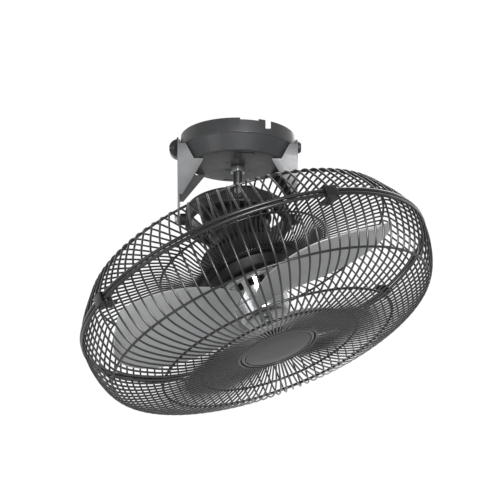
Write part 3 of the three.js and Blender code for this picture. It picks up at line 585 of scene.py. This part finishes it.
@dataclass
class CeilingMount:
    """Canopy, nut, stud and what hides inside the canopy."""

    radius: float = 77.5
    wall: float = 1.6
    height: float = 41.0
    band: float = 19.0
    step: float = 1.2
    face: float = 65.0
    stud: float = 6.0
    nut_across: float = 19.0
    nut_height: float = 8.0
    pin: float = 1.1
    pin_reach: float = 16.5
    lip_height: float = 9.4
    gap: float = 0.3

    def canopy(self) -> None:
        """Builds the turned canopy with its notches, slots and bolt holes."""
        r, w, h, b, s = self.radius, self.wall, self.height, self.band, self.step
        hole = self.stud + self.gap
        profile = filleted([
            (r, 0, 0.4), (r, -b, 0.5), (r - s, -b - s, 0.4), (self.face + 1.5, -h + 1.5, 1.6),
            (self.face, -h, 0.8), (hole, -h, 0.3), (hole, -h + w, 0), (self.face - w, -h + w, 0.8),
            (r - w - s, -b - s, 0.4), (r - w, -b, 0.4), (r - w, 0, 0.3)], 3)
        shell = turned(profile, 144)
        rim = -r - 2
        below, above = -h - 1, -h + 3
        slots = [block((0, -59, below), (22, -53, above)),
                 block((-20, 53.5, below), (-7, 56.5, above))]
        notches = [block((3, rim, -2.5), (27, rim / 2, 1)),
                   block((36, rim, -12), (43, rim / 2, 1))]
        bolt_bore = rod(PIN_BORE, (rim, 0, -ARM_BOLT_DROP), (-rim, 0, -ARM_BOLT_DROP))
        for cutter in (*slots, *notches, bolt_bore):
            merged(shell, softened(cutter, 1.0, 3, 60))
        inside = -h + w
        lip = block((-0.5, -53.2, inside - 0.2), (22.5, -52, inside + self.lip_height))
        fused(shell, lip)
        dressed(shell, "canopy_shell", "base", CANOPY_PAINT, Place.BASE, ["canopy"])

    def nut_and_stud(self) -> None:
        """Builds the chamfered nut, the stud and the cross pin."""
        top = -self.height - self.gap
        nut = rod(self.nut_across / math.sqrt(3), (0, 0, top - self.nut_height), (0, 0, top), 6)
        nut = softened(nut, 0.7, 2)
        bored(nut, self.stud + self.gap, (0, 0, top - 12), (0, 0, top + 2))
        dressed(nut, "stud_hex_nut", "base", ZINC, Place.BASE, ["stud_nut"])
        reach, level = self.pin_reach, top - self.nut_height / 2
        pin = softened(rod(self.pin, (-reach, 0, level), (reach, 0, level), 16), 0.3)
        dressed(pin, "stud_split_pin", "base", DARK_STEEL, Place.BASE, ["stud_cross_pin"])
        low, high = (corner[2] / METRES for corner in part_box("swing_stud"))
        turns = filleted([(0, low, 0), (self.stud, low, 0.8), (self.stud, high, 0.5), (0, high, 0)], 3)
        stud = turned(turns, 40, ring=False)
        dressed(stud, "swing_stud_rod", "base", DARK_STEEL, Place.BASE, ["swing_stud"])

    def build(self) -> None:
        """Builds the sub-assembly."""
        self.canopy()
        self.nut_and_stud()
        coat_nodes(PLATE_ZINC, "mounting_plate")
        coat_nodes(RUBBER, "cable_grommet")
        coat_nodes(NYLON, "terminal_block")
        coat_nodes(BLACK_PLASTIC, "run_capacitor")


@dataclass
class Arm:
    """One pressed arm with its turned-in flanges, drawn on the +X side."""

    side: str
    turn: float
    thick: float = 1.8
    half_depth: float = 36.0
    neck_half: float = 14.0
    neck_rise: float = 20.0
    end_radius: float = 7.5
    reach: float = 34.0
    shoulder: float = 15.0
    tab_top: float = 5.0
    tab_half: float = 9.0
    flange_end: float = 85.0
    flange_tip: float = 6.0
    pivot_bore: float = 5.0
    mount: CeilingMount = field(default_factory=CeilingMount)

    @property
    def inner(self) -> float:
        """Inner face of the web."""
        return self.mount.radius + self.mount.gap

    @property
    def outer(self) -> float:
        """Outer face of the web."""
        return self.inner + self.thick

    def _canopy_edge(self, depth: float) -> float:
        """Distance out at which the flange meets the canopy's tapered wall."""
        m = self.mount
        top = m.band + m.step
        share = min((depth - top) / (m.height - 1.5 - top), 1)
        radius = m.radius - m.step + (m.face + 1.5 - m.radius + m.step) * share
        return math.sqrt((radius + 2 * m.gap) ** 2 - (self.half_depth - self.thick) ** 2)

    def _flange(self, sign: int) -> Piece:
        """Returns the flange on the front (-1) or rear (+1) side."""
        m = self.mount
        top = -m.band - m.step
        face = -m.height - m.gap
        end = -self.flange_end
        tip = self.outer - self.reach
        narrow = self.outer - self.flange_tip
        y = sign * self.half_depth
        inward = (0, -sign * self.thick, 0)
        upper = plate([(self.outer, y, top), (self.outer, y, face),
                       (self._canopy_edge(m.height), y, face),
                       (self._canopy_edge(m.band + m.step), y, top)], inward)
        lower = plate([(self.outer, y, face), (self.outer, y, end), (narrow, y, end),
                       (tip, y, face - self.thick), (tip, y, face)], inward)
        lean = (self.half_depth - self.neck_half) / (face + GIMBAL_DROP - self.neck_rise)
        for vertex in lower.data.vertices:
            vertex.co.y -= sign * (face - vertex.co.z) * lean
        return fused(upper, lower)

    def build(self) -> None:
        """Builds the arm."""
        m = self.mount
        face = -m.height - m.gap
        neck = -GIMBAL_DROP + self.neck_rise
        turns = [math.pi * i / 16 for i in range(17)]
        end = [(-math.cos(turn) * self.end_radius, -GIMBAL_DROP - math.sin(turn) * self.end_radius)
               for turn in turns]
        wide, shoulder, top = self.half_depth, -self.shoulder, -self.tab_top
        foot, tab = self.tab_half + 4, self.tab_half
        outline = [(wide, shoulder), (foot, shoulder), (tab, top), (-tab, top), (-foot, shoulder),
                   (-wide, shoulder), (-wide, face), (-self.neck_half, neck), *end,
                   (self.neck_half, neck), (wide, face)]
        web = plate([(self.inner, y, z) for y, z in outline], (self.thick, 0, 0))
        for sign in (-1, 1):
            fused(web, self._flange(sign))
        for radius, drop in ((self.pivot_bore, GIMBAL_DROP), (PIN_BORE, ARM_BOLT_DROP)):
            bored(web, radius, (self.inner - 2, 0, -drop), (self.outer + 2, 0, -drop))
        softened(web, 0.45, 2)
        turned_by(web, self.turn)
        dressed(web, f"{self.side}_arm_pressing", "base", ARM_PAINT, Place.BASE, [f"{self.side}_arm"])


@dataclass
class ArmFittings:
    """Thumb nut, safety ear, arm bolts and pivot bushes."""

    arm: Arm
    knurls: int = 24
    ear_radius: float = 13.0
    ear_thick: float = 16.0
    ear_drop: float = 3.4
    ear_slot: float = 1.8

    def thumb_nut(self) -> None:
        """Builds the knurled thumb nut on the right arm bolt."""
        x = self.arm.outer + 0.3
        nut = turned(filleted([
            (PIN_BORE, 0, 0.2), (8, 0, 0.6), (8, 4, 0.8), (6.5, 5, 0.6), (6.5, 6, 0.8),
            (PIN_BORE, 6, 0.3)], 3), 64)
        merged(nut, around(rod(0.45, (8.1, 0, -1), (8.1, 0, 4.5), 8), self.knurls))
        sideways = Matrix.Rotation(math.pi / 2, 4, "Y")
        nut.data.transform(Matrix.Translation((x, 0, -ARM_BOLT_DROP)) @ sideways)
        dressed(nut, "arm_thumb_nut", "base", BLACK_PLASTIC, Place.BASE, ["right_thumb_nut"])

    def ear(self) -> None:
        """Builds the rounded ear with its slot on the left arm bolt."""
        x, radius, half = self.arm.outer + 0.3, self.ear_radius, self.ear_thick / 2
        arc = [(x + math.cos(math.pi * (i / 24 - 0.5)) * radius, half,
                math.sin(math.pi * (i / 24 - 0.5)) * radius) for i in range(25)]
        body = softened(plate(arc, (0, -self.ear_thick, 0)), 2.4, 4, 50)
        foot = softened(block((x, -radius, -radius), (x + 2.5, radius, radius)), 0.8, 3)
        fused(body, foot)
        slot = block((x + 6, -half - 2, -self.ear_slot), (x + 13, half + 2, self.ear_slot))
        merged(body, softened(slot, 0.6, 2))
        bored(body, PIN_BORE, (x - 1, 0, self.ear_drop), (x + 5.6, 0, self.ear_drop))
        across = Matrix.Rotation(math.pi, 4, "Z")
        body.data.transform(Matrix.Translation((0, 0, -ARM_BOLT_DROP - self.ear_drop)) @ across)
        dressed(body, "safety_cord_ear", "base", BLACK_PLASTIC, Place.BASE, ["left_safety_ear"])

    def build(self) -> None:
        """Builds the fittings."""
        self.thumb_nut()
        self.ear()
        coat_nodes(ZINC, "right_arm_bolt", "left_arm_bolt")
        coat_nodes(NYLON, "right_pivot_bush", "left_pivot_bush")


@dataclass
class GimbalRing:
    """The cast ring that swings on the arms, with its bolts and trunnions."""

    inner: float = 62.0
    outer: float = 70.0
    half: float = 11.0
    boss: float = 8.0
    boss_end: float = 76.1
    trunnion_inner: float = 57.0
    trunnion_outer: float = 73.0

    def build(self) -> None:
        """Builds the ring."""
        i, o, h = self.inner, self.outer, self.half
        ring = turned(filleted([(i, -h, 1), (o, -h, 2.4), (o, h, 2.4), (i, h, 1)], 4), 128)
        a, b = self.trunnion_inner, self.trunnion_outer
        for start, end in (((i + 1, 0, 0), (self.boss_end, 0, 0)),
                           ((-i - 1, 0, 0), (-self.boss_end, 0, 0)),
                           ((0, a, 0), (0, b, 0)), ((0, -a, 0), (0, -b, 0))):
            fused(ring, softened(rod(self.boss, start, end, 40), 0.7))
        bored(ring, PIN_BORE, (-90, 0, 0), (90, 0, 0))
        bored(ring, PIN_BORE, (0, -90, 0), (0, 90, 0))
        dressed(ring, "gimbal_ring_casting", "ring", RING_PAINT, Place.RING, ["gimbal_ring"])
        coat_nodes(ZINC, "right_pivot_bolt", "left_pivot_bolt", "rear_trunnion_pin", "front_trunnion_pin")
        coat_nodes(NYLON, "rear_trunnion_washer", "front_trunnion_washer")


@dataclass
class GearCase:
    """Swing gear case with its cover and the crank drive in it."""

    radius: float = 44.0
    wall: float = 3.0
    rise: float = 22.0
    floor: float = 18.0
    neck: float = 37.0
    bottom: float = 41.7
    trunnion_end: float = 55.7
    bush_bore: float = 8.1
    screws: int = 6

    def build(self) -> None:
        """Builds the case, its cover and screws, and finishes the drive."""
        r, w, f, n, b = self.radius, self.wall, self.floor, self.neck, self.bottom
        top = -f + w
        cup = turned(filleted([
            (n - w, -b, 0.3), (n + 2, -b, 0.5), (n + 2, -b + 3, 0.8), (n, -b + 3, 0.6), (n, -f - 2, 2.5),
            (r, -f + 4, 2.5), (r, self.rise, 0.6), (r - w, self.rise, 0.4), (r - w, top + 2, 0.8),
            (r - w - 2, top, 0.6), (6, top, 0), (6, -f, 0), (n - w, -f, 0.5)], 3), 96)
        fused(cup, rod(7, (0, 0, -f), (0, 0, top), 32))
        for sign in (-1, 1):
            boss = rod(8, (0, sign * (r - w + 1), 0), (0, sign * self.trunnion_end, 0), 40)
            fused(cup, softened(boss, 0.6))
            bored(cup, PIN_BORE, (0, sign * (r - w + 2.5), 0), (0, sign * 60, 0), 24)
        bored(cup, 4, (28, 0, -f - 1), (28, 0, top + 1), 24)
        dressed(cup, "gear_case_cup", "head", CASE_PAINT, Place.HEAD, ["gear_case"])
        low = self.rise + 0.3
        lid = turned(filleted([
            (self.bush_bore, low, 0), (r, low, 0.3), (r, low + 3, 1.4), (15, low + 3, 1),
            (12, low + 5.5, 1), (self.bush_bore, low + 5.5, 0.4)], 3), 96)
        screw = softened(rod(2.6, (38, 0, low + 2.8), (38, 0, low + 4.6), 20), 0.6, 3)
        merged(screw, block((35.8, -0.35, low + 3.9), (40.2, 0.35, low + 6)))
        dressed(lid, "gear_case_lid", "head", CASE_PAINT, Place.HEAD, ["gear_case_cover"])
        dressed(around(screw, self.screws, 30), "lid_screws", "head", ZINC, Place.HEAD)
        coat_nodes(BRASS, "crank_bush")
        coat_nodes(CORE_STEEL, "swing_motor")
        coat_nodes(NYLON, "swing_pinion", "crank_gear")
        coat_nodes(ZINC, "crank_shaft", "crank_arm", "crank_ball")


@dataclass
class Motor:
    """Smooth motor housing with a row of vents, end bell, bolts and what turns inside."""

    radius: float = 58.4
    top: float = 42.0
    shoulder: float = 50.0
    step: float = 1.6
    wall: float = 3.0
    vents: int = 66
    vent_depth: float = 49.0
    vent_length: float = 4.4
    vent_half: float = 1.3
    end: float = 78.0
    bell_end: float = 96.0
    bell_face: float = 50.0
    lug: float = 4.0
    lug_reach: float = 67.0
    lug_half: float = 4.5
    screw_circle: float = 62.2
    screw_bore: float = 1.8
    shaft_bore: float = 5.6
    bearing: float = 13.3
    bearing_ring: float = 16.3
    bell_inner: float = 53.8
    bolt_circle: float = 40.0

    def housing(self) -> None:
        """Builds the shell with its row of vents and the lugs of the guard."""
        body = self.radius - self.step
        flat = self.radius - 8
        bore = body - self.wall
        shell = turned(filleted([
            (0, -self.top, 0), (flat, -self.top, 2.5), (body, -self.shoulder, 2.6), (body, -self.end, 0.3),
            (bore, -self.end, 0.3), (bore, -self.shoulder - 1, 1), (flat - 1, -self.top - self.wall, 1),
            (0, -self.top - self.wall, 0)], 5), 144, ring=False)
        half, low, high = self.vent_half, -self.vent_depth - self.vent_length, -self.vent_depth
        vent = softened(block((flat, -half, low), (self.radius + 3, half, high)), 0.5, 2)
        merged(shell, around(vent, self.vents))
        half, rear, screw = self.lug_half, -self.end + self.lug, self.screw_circle
        lug = block((body - 1, -half, -self.end), (self.lug_reach, half, rear))
        bored(lug, self.screw_bore, (screw, 0, rear + 1), (screw, 0, -self.end - 1), 20)
        lug = around(softened(lug, 0.5, 2), 4, 45)
        dressed(joined([shell, lug]), "motor_shell", "head", MOTOR_PAINT, Place.MOTOR,
                ["motor_housing"])

    def bell(self) -> None:
        """Builds the front end bell with a sunk band in its face."""
        s, e, f = self.end + 0.3, self.bell_end, self.bell_face
        hole, seat, ring, inner = self.shaft_bore, self.bearing, self.bearing_ring, self.bell_inner
        bell = turned(filleted([
            (self.radius, -s, 0.5), (self.radius, -s - 6, 2.5), (f + 2, -e + 1.5, 2.0), (f, -e, 1.2),
            (30, -e, 0.8), (28.5, -e + 1, 0.8), (20, -e + 1, 0.8), (18.5, -e, 0.8), (hole, -e, 0.3),
            (hole, -e + 2.5, 0), (seat, -e + 2.5, 0), (seat, -e + 10, 0.2), (ring, -e + 10, 0.3),
            (ring, -e + 3, 0.5), (f - 1, -e + 3, 1), (inner, -s - 5, 1), (inner, -s, 0.3)], 4), 144)
        dressed(bell, "motor_bell", "head", MOTOR_PAINT, Place.MOTOR, ["motor_front_bell"])

    def bolts(self) -> None:
        """Builds the four flanged hexagon bolts of the bell."""
        top, at = -self.bell_end - 0.3, self.bolt_circle
        for i in range(4):
            head = softened(rod(3.3, (at, 0, top - 2.3), (at, 0, top - 0.6), 6), 0.4, 2)
            washer = softened(rod(3.8, (at, 0, top - 0.8), (at, 0, top), 32), 0.2, 2)
            shank = rod(1.9, (at, 0, top - 0.5), (at, 0, -self.bell_end + 5), 20)
            bolt = turned_by(joined([head, washer, shank]), 20 + 90 * i)
            dressed(bolt, f"bell_bolt_head_{i + 1}", "head", ZINC, Place.MOTOR, [f"bell_bolt_{i + 1}"])

    def build(self) -> None:
        """Builds the motor."""
        self.housing()
        self.bell()
        self.bolts()
        coat_nodes(BEARING_STEEL, "rear_bearing", "front_bearing")
        coat_nodes(CORE_STEEL, "stator_core", "rotor_core")
        coat_nodes(COPPER, "rear_winding", "front_winding")
        coat_nodes(ZINC, "motor_shaft")


@dataclass
class Rotor:
    """Polished hub and three blades."""

    start: float = 99.5
    rear: float = 45.5
    waist: float = 125.0
    waist_radius: float = 36.5
    end: float = 149.0
    front: float = 33.0
    wall: float = 3.2
    groove: tuple[float, float] = (101.4, 103.8)
    bead: tuple[float, float] = (104.5, 105.6)
    ridge: tuple[float, float] = (128.6, 130.2)
    shaft_bore: float = 5.3
    sleeve: float = 12.3
    sleeve_start: float = 117.5
    slots: int = 17
    slot_turn: float = 5.84
    slot_half: float = 5.1
    slot_start: float = 106.0
    slot_end: float = 115.0
    tip: float = 200.0
    blade_start: float = 119.7
    rise: float = 25.5
    thick: float = 2.2
    rounding: float = 45.0
    lead: tuple[float, float] = (11.5, 4.9)
    width: tuple[float, float, float] = (80.7, 33.0, 12.3)
    corners: tuple[float, float] = (5.8, 13.4)
    root_gap: float = 0.75
    cells: int = 32

    def radius_at(self, s: float) -> float:
        """Outer radius of the hub at a distance forward."""
        waist, middle = self.waist, self.waist_radius
        if s < waist:
            return self.rear + (middle - self.rear) * (s - self.start) / (waist - self.start)
        return middle + (self.front - middle) * (s - waist) / (self.end - 4 - waist)

    def hub(self) -> None:
        """Builds the turned hub with its groove, its bead and its ring of openings."""
        s, e, w, hole = self.start, self.end, self.wall, self.shaft_bore
        groove, bead, ridge = self.radius_at(102.5), self.radius_at(105.1), self.radius_at(129.5)
        groove_start, groove_end = self.groove
        bead_start, bead_end = self.bead
        ridge_start, ridge_end = self.ridge
        below_slots = self.slot_end + 1
        hub = turned(filleted([
            (self.rear, -s, 0.4), (self.rear - 0.3, -s - 1.4, 0.3), (groove - 1.5, -groove_start, 0.4),
            (groove - 1.5, -groove_end, 0.4), (bead + 0.6, -bead_start, 0.4), (bead + 0.6, -bead_end, 0.4),
            (bead - 0.5, -bead_end - 0.6, 0.3), (self.radius_at(below_slots) - 0.2, -below_slots, 1.0),
            (self.waist_radius, -self.waist, 3.0), (ridge, -ridge_start, 0.4),
            (ridge + 0.7, -(ridge_start + ridge_end) / 2, 0.5), (ridge, -ridge_end, 0.4),
            (self.front, -e + 4, 3.0), (self.front - 4, -e, 3.0), (hole, -e, 0.5),
            (hole, -self.sleeve_start, 0.2), (self.sleeve, -self.sleeve_start, 0.5),
            (self.sleeve, -e + 2 * w, 1.0), (self.front - w - 3, -e + 2 * w, 2.0),
            (self.waist_radius - w, -self.waist, 4.0), (self.rear - w, -s, 0.4)], 4), 160)
        half = self.slot_half
        slot = block((self.waist_radius - w, -half, -self.slot_end), (self.rear + 3, half, -self.slot_start))
        merged(hub, around(softened(slot, 1.2, 3), self.slots, self.slot_turn))
        dressed(hub, "polished_hub", "rotor", HUB_POLISH, Place.ROTOR, ["blade_hub"])
        nut = softened(rod(9, (0, 0, -e - 6.3), (0, 0, -e - 0.3), 6), 0.7, 2)
        bored(nut, 4.3, (0, 0, -e - 8), (0, 0, -e + 1), 24)
        dressed(nut, "hub_hex_nut", "rotor", ZINC, Place.ROTOR, ["hub_nut"])

    def _at(self, u: float, v: float) -> Vector:
        """Point on the blade's middle surface, u from root to tip and v across."""
        depth = self.blade_start + self.rise * v
        root = self.radius_at(depth) + self.root_gap
        radius = root + (self.tip - root) * u
        q = (radius - 120) / 80
        near = max(0.0, (radius - (self.tip - self.rounding)) / self.rounding)
        shrink = 1 - math.sqrt(max(0.0, 1 - near * near))
        edge = -self.lead[0] * q - self.lead[1] * q * q
        width = self.width[0] - self.width[1] * q - self.width[2] * q * q
        first = edge - self.corners[0] * shrink
        last = edge - width + self.corners[1] * shrink
        turn = math.radians(first + (last - first) * v)
        return Vector((radius * math.cos(turn), radius * math.sin(turn), -depth))

    def blade(self, index: int) -> None:
        """Builds one blade from a grid that is bent to its surface."""
        clear()
        bpy.ops.mesh.primitive_grid_add(x_subdivisions=self.cells, y_subdivisions=self.cells, size=2)
        sheet = bpy.context.object
        for vertex in sheet.data.vertices:
            u, v = (vertex.co.x + 1) / 2, (vertex.co.y + 1) / 2
            vertex.co = self._at(1 - (1 - u) ** 1.4, v)
        wall = sheet.modifiers.new("wall", "SOLIDIFY")
        wall.thickness = self.thick * 0.8
        wall.offset = 0
        apply(sheet, wall)
        softened(sheet, 0.6, 3, 50)
        tidy(sheet, 0.0001)
        turned_by(sheet, 120.0 * index)
        dressed(sheet, f"blade_sheet_{index + 1}", "rotor", BLADE_LACQUER, Place.ROTOR,
                [f"blade_{index + 1}"], 40)

    def build(self) -> None:
        """Builds the rotor."""
        self.hub()
        for index in range(3):
            self.blade(index)


@dataclass
class Guards:
    """Rear and front wire guards with hoops, clips, clamp and cap."""

    belt: float = 231.0
    belt_depth: float = 113.5
    belt_wire: float = 2.2
    wires: int = 105
    wire: float = 1.25
    hoop_wire: float = 1.6
    seat_wire: float = 2.0
    seat: float = 66.0
    seat_depth: float = 80.3
    rear_shoulder: float = 203.0
    rear_face: float = 58.0
    dish: float = 112.0
    dish_floor: float = 78.0
    front_shoulder: float = 220.0
    front_face: float = 198.0
    front_turn: float = 1.7
    outer_hoop: float = 152.0
    inner_hoop: float = 104.0
    cap_ring: float = 52.0
    cap_depth: float = 190.5
    clip_angles: tuple[float, ...] = (33.0, 111.0, 213.0, 291.0)
    clip_half: float = 8.0
    clip_thick: float = 1.8

    @property
    def half(self) -> float:
        """Half the distance between the two belt hoops."""
        return self.belt_wire + 0.4

    def rear(self) -> None:
        """Builds the rear guard."""
        b, f, r = self.belt_depth - self.half, self.rear_face, self.rear_shoulder
        line = smooth_line([
            (self.belt - 0.4, b), (self.belt - 5, b - 13), (r + 8, f + 14), (r + 1, f + 4), (r - 8, f),
            (150, f), (self.dish, f + 1.5), (self.dish - 9, f + 5),
            (self.dish_floor + 9, self.seat_depth - 5), (self.dish_floor, self.seat_depth - 0.5),
            (self.seat, self.seat_depth)], 3)
        wires = around(wire(line, self.wire), self.wires)
        parts = [wires,
                 hoop(self.belt, b, self.belt_wire, 160),
                 hoop(r - 6, f + 1.6, self.hoop_wire, 144),
                 hoop(self.dish + 2, f + 3.2, self.hoop_wire, 112),
                 hoop(self.seat, self.seat_depth, self.seat_wire, 96)]
        dressed(joined(parts), "rear_wire_guard", "head", WIRE_PAINT, Place.MOTOR, ["rear_guard"], 60)

    def front(self) -> None:
        """Builds the front guard."""
        b, f, r = self.belt_depth + self.half, self.front_face, self.front_shoulder
        line = smooth_line([
            (self.belt - 0.4, b), (self.belt - 1, b + 14), (r + 5, f - 47), (r - 2, f - 31),
            (r - 10, f - 21), (r - 26, f - 12), (self.outer_hoop, f - 1), (self.inner_hoop, f),
            (self.cap_ring, self.cap_depth)], 3)
        wires = around(wire(line, self.wire), self.wires, self.front_turn)
        parts = [wires,
                 hoop(self.belt, b, self.belt_wire, 160),
                 hoop(r - 9.5, f - 22.6, self.hoop_wire, 144),
                 hoop(self.outer_hoop, f - 3, self.hoop_wire, 128),
                 hoop(self.inner_hoop, f - 2.4, self.hoop_wire, 112),
                 hoop(self.cap_ring, self.cap_depth, self.seat_wire, 96)]
        dressed(joined(parts), "front_wire_guard", "head", WIRE_PAINT, Place.MOTOR, ["front_guard"], 60)

    def clip(self, index: int, angle: float) -> None:
        """Builds one belt clip with its pan-head screw."""
        rear = self.belt_depth - self.half - self.belt_wire - 0.3
        front = self.belt_depth + self.half + self.belt_wire + 0.3
        outer = self.belt + self.belt_wire + 0.3
        inner, thick = self.belt - 17, self.clip_thick
        outline = [(inner, -front), (inner, -front - thick), (outer + thick, -front - thick),
                   (outer + thick, -rear + thick), (inner, -rear + thick), (inner, -rear),
                   (outer, -rear), (outer, -front)]
        strap = plate([(x, -self.clip_half, z) for x, z in outline], (0, 2 * self.clip_half, 0))
        softened(strap, 0.6, 3)
        middle = self.belt - 10.5
        head = turned(filleted([
            (0, -2.2, 0), (2.4, -2.2, 1.2), (4, -0.9, 0.8), (4, 0.2, 0.2), (0, 0.2, 0)], 4), 40, ring=False)
        for low, high in (((-2.6, -0.4, -3), (2.6, 0.4, -1.3)), ((-0.4, -2.6, -3), (0.4, 2.6, -1.3))):
            merged(head, block(low, high))
        head.data.transform(Matrix.Translation((middle, 0, -front - thick)))
        shank = rod(2, (middle, 0, -front - 1.9), (middle, 0, -rear + 2.8), 24)
        whole = turned_by(joined([strap, head, shank]), angle)
        dressed(whole, f"belt_clip_strap_{index}", "head", WIRE_PAINT, Place.MOTOR, [f"belt_clip_{index}"])

    def cap(self) -> None:
        """Builds the cap's rim and its gloss disc, left bare."""
        d, r = self.cap_depth, self.cap_ring - 2.7
        rim = turned(filleted([
            (0, -d + 6, 0), (self.cap_ring + 1.5, -d + 6, 1.2), (self.cap_ring + 1.5, -d + 2.3, 0.5),
            (r, -d + 2.3, 0.3), (r, -d, 0.4), (r - 2, -d - 1.8, 1.2), (r - 4.5, -d - 1.8, 1.2),
            (r - 5.2, -d, 0.3), (0, -d, 0)], 4), 128, ring=False)
        dressed(rim, "cap_rim_dish", "head", CAP_RIM, Place.MOTOR, ["centre_cap"])
        disc = turned(filleted([
            (0, -d - 0.3, 0), (r - 5.5, -d - 0.3, 0.2), (r - 6, -d - 1.2, 0.5),
            (26.3, -d - 2.4, 4), (0, -d - 2.9, 0)], 6), 128, ring=False)
        dressed(disc, "cap_gloss_disc", "head", CAP_GLOSS, Place.MOTOR, ["cap_disc"])

    def build(self) -> None:
        """Builds both guards and what holds them."""
        self.rear()
        self.front()
        for index, angle in enumerate(self.clip_angles, 1):
            self.clip(index, angle)
        self.cap()
        coat_nodes(MOTOR_PAINT, "guard_clamp")


@dataclass
class Studio:
    """Camera, pale floor and soft light."""

    eye: tuple[float, float, float] = (0.0018, -1.348, -0.502)
    azimuth: float = -0.63
    elevation: float = 14.36
    focal: float = 1050.0
    pixels: float = 500.0
    near_level: float = 0.35
    far_level: float = 1.02
    low_level: float = 0.25
    sensor: float = 36.0
    floor_level: float = -1.9
    middle: tuple[float, float, float] = (0.03, 0.0, -0.18)

    def camera(self) -> None:
        """Sets the camera at the photograph's angle."""
        data = bpy.data.cameras.new("camera")
        data.sensor_fit = "HORIZONTAL"
        data.sensor_width = self.sensor
        data.lens = self.sensor * self.focal / self.pixels
        data.clip_end = 50
        eye = bpy.data.objects.new("camera", data)
        bpy.context.scene.collection.objects.link(eye)
        eye.location = self.eye
        eye.rotation_euler = Euler((math.radians(90 + self.elevation), 0, math.radians(self.azimuth)))
        bpy.context.scene.camera = eye

    def floor(self) -> None:
        """Lays a pale floor far below the fan."""
        clear()
        bpy.ops.mesh.primitive_plane_add(size=14, location=(0, 0, self.floor_level))
        floor = bpy.context.object
        floor.name = "studio_floor"
        paint = bpy.data.materials.new("pale_floor")
        paint.use_nodes = True
        shader = paint.node_tree.nodes["Principled BSDF"]
        shader.inputs["Base Color"].default_value = (0.86, 0.86, 0.86, 1)
        shader.inputs["Roughness"].default_value = 0.8
        floor.data.materials.append(paint)

    def lamp(self, name: str, at: Point, size: float, power: float) -> None:
        """Hangs one soft square lamp that faces the middle of the fan."""
        data = bpy.data.lights.new(name, "AREA")
        data.size = size
        data.energy = power
        lamp = bpy.data.objects.new(name, data)
        lamp.location = at
        aim = Vector(self.middle) - Vector(at)
        lamp.rotation_euler = aim.to_track_quat("-Z", "Y").to_euler()
        bpy.context.scene.collection.objects.link(lamp)

    @staticmethod
    def _ramp(tree: Tree, reach: tuple[float, float],
              levels: tuple[float, float]) -> bpy.types.Node:
        """Returns a node that leads smoothly from one level to another."""
        ramp = tree.nodes.new("ShaderNodeMapRange")
        ramp.interpolation_type = "SMOOTHSTEP"
        for name, value in zip(("From Min", "From Max", "To Min", "To Max"), (*reach, *levels)):
            ramp.inputs[name].default_value = value
        return ramp

    def room(self) -> None:
        """Surrounds the fan with a room that is white behind it and dimmer on the camera's side."""
        world = bpy.data.worlds.new("pale_room")
        world.use_nodes = True
        tree = world.node_tree
        where = tree.nodes.new("ShaderNodeTexCoord")
        parts = tree.nodes.new("ShaderNodeSeparateXYZ")
        level = self._ramp(tree, (-0.3, 0.6), (self.near_level, self.far_level))
        below = self._ramp(tree, (-0.35, -0.1), (self.low_level, 1.0))
        both = tree.nodes.new("ShaderNodeMath")
        both.operation = "MULTIPLY"
        sky = tree.nodes["Background"]
        sky.inputs["Color"].default_value = (1, 1, 1, 1)
        tree.links.new(where.outputs["Generated"], parts.inputs["Vector"])
        tree.links.new(parts.outputs["Y"], level.inputs["Value"])
        tree.links.new(parts.outputs["Z"], below.inputs["Value"])
        tree.links.new(level.outputs["Result"], both.inputs[0])
        tree.links.new(below.outputs["Result"], both.inputs[1])
        tree.links.new(both.outputs["Value"], sky.inputs["Strength"])
        bpy.context.scene.world = world

    def build(self) -> None:
        """Builds the studio."""
        bpy.context.scene.view_settings.view_transform = "Standard"
        self.camera()
        self.floor()
        self.room()
        self.lamp("key", (0.5, -2.3, -0.3), 0.7, 55)
        self.lamp("fill", (-1.9, -1.5, -0.9), 1.2, 10)
        self.lamp("rim", (0.6, 1.8, 1.4), 1.6, 20)


def main() -> None:
    """Builds the studio and every sub-assembly in order."""
    logging.basicConfig(level=logging.INFO, format="%(name)s %(message)s")
    Studio().build()
    CeilingMount().build()
    right, left = Arm("right", 0.0), Arm("left", 180.0)
    right.build()
    left.build()
    ArmFittings(right).build()
    GimbalRing().build()
    GearCase().build()
    Motor().build()
    Rotor().build()
    Guards().build()


if __name__ == "__main__":
    main()
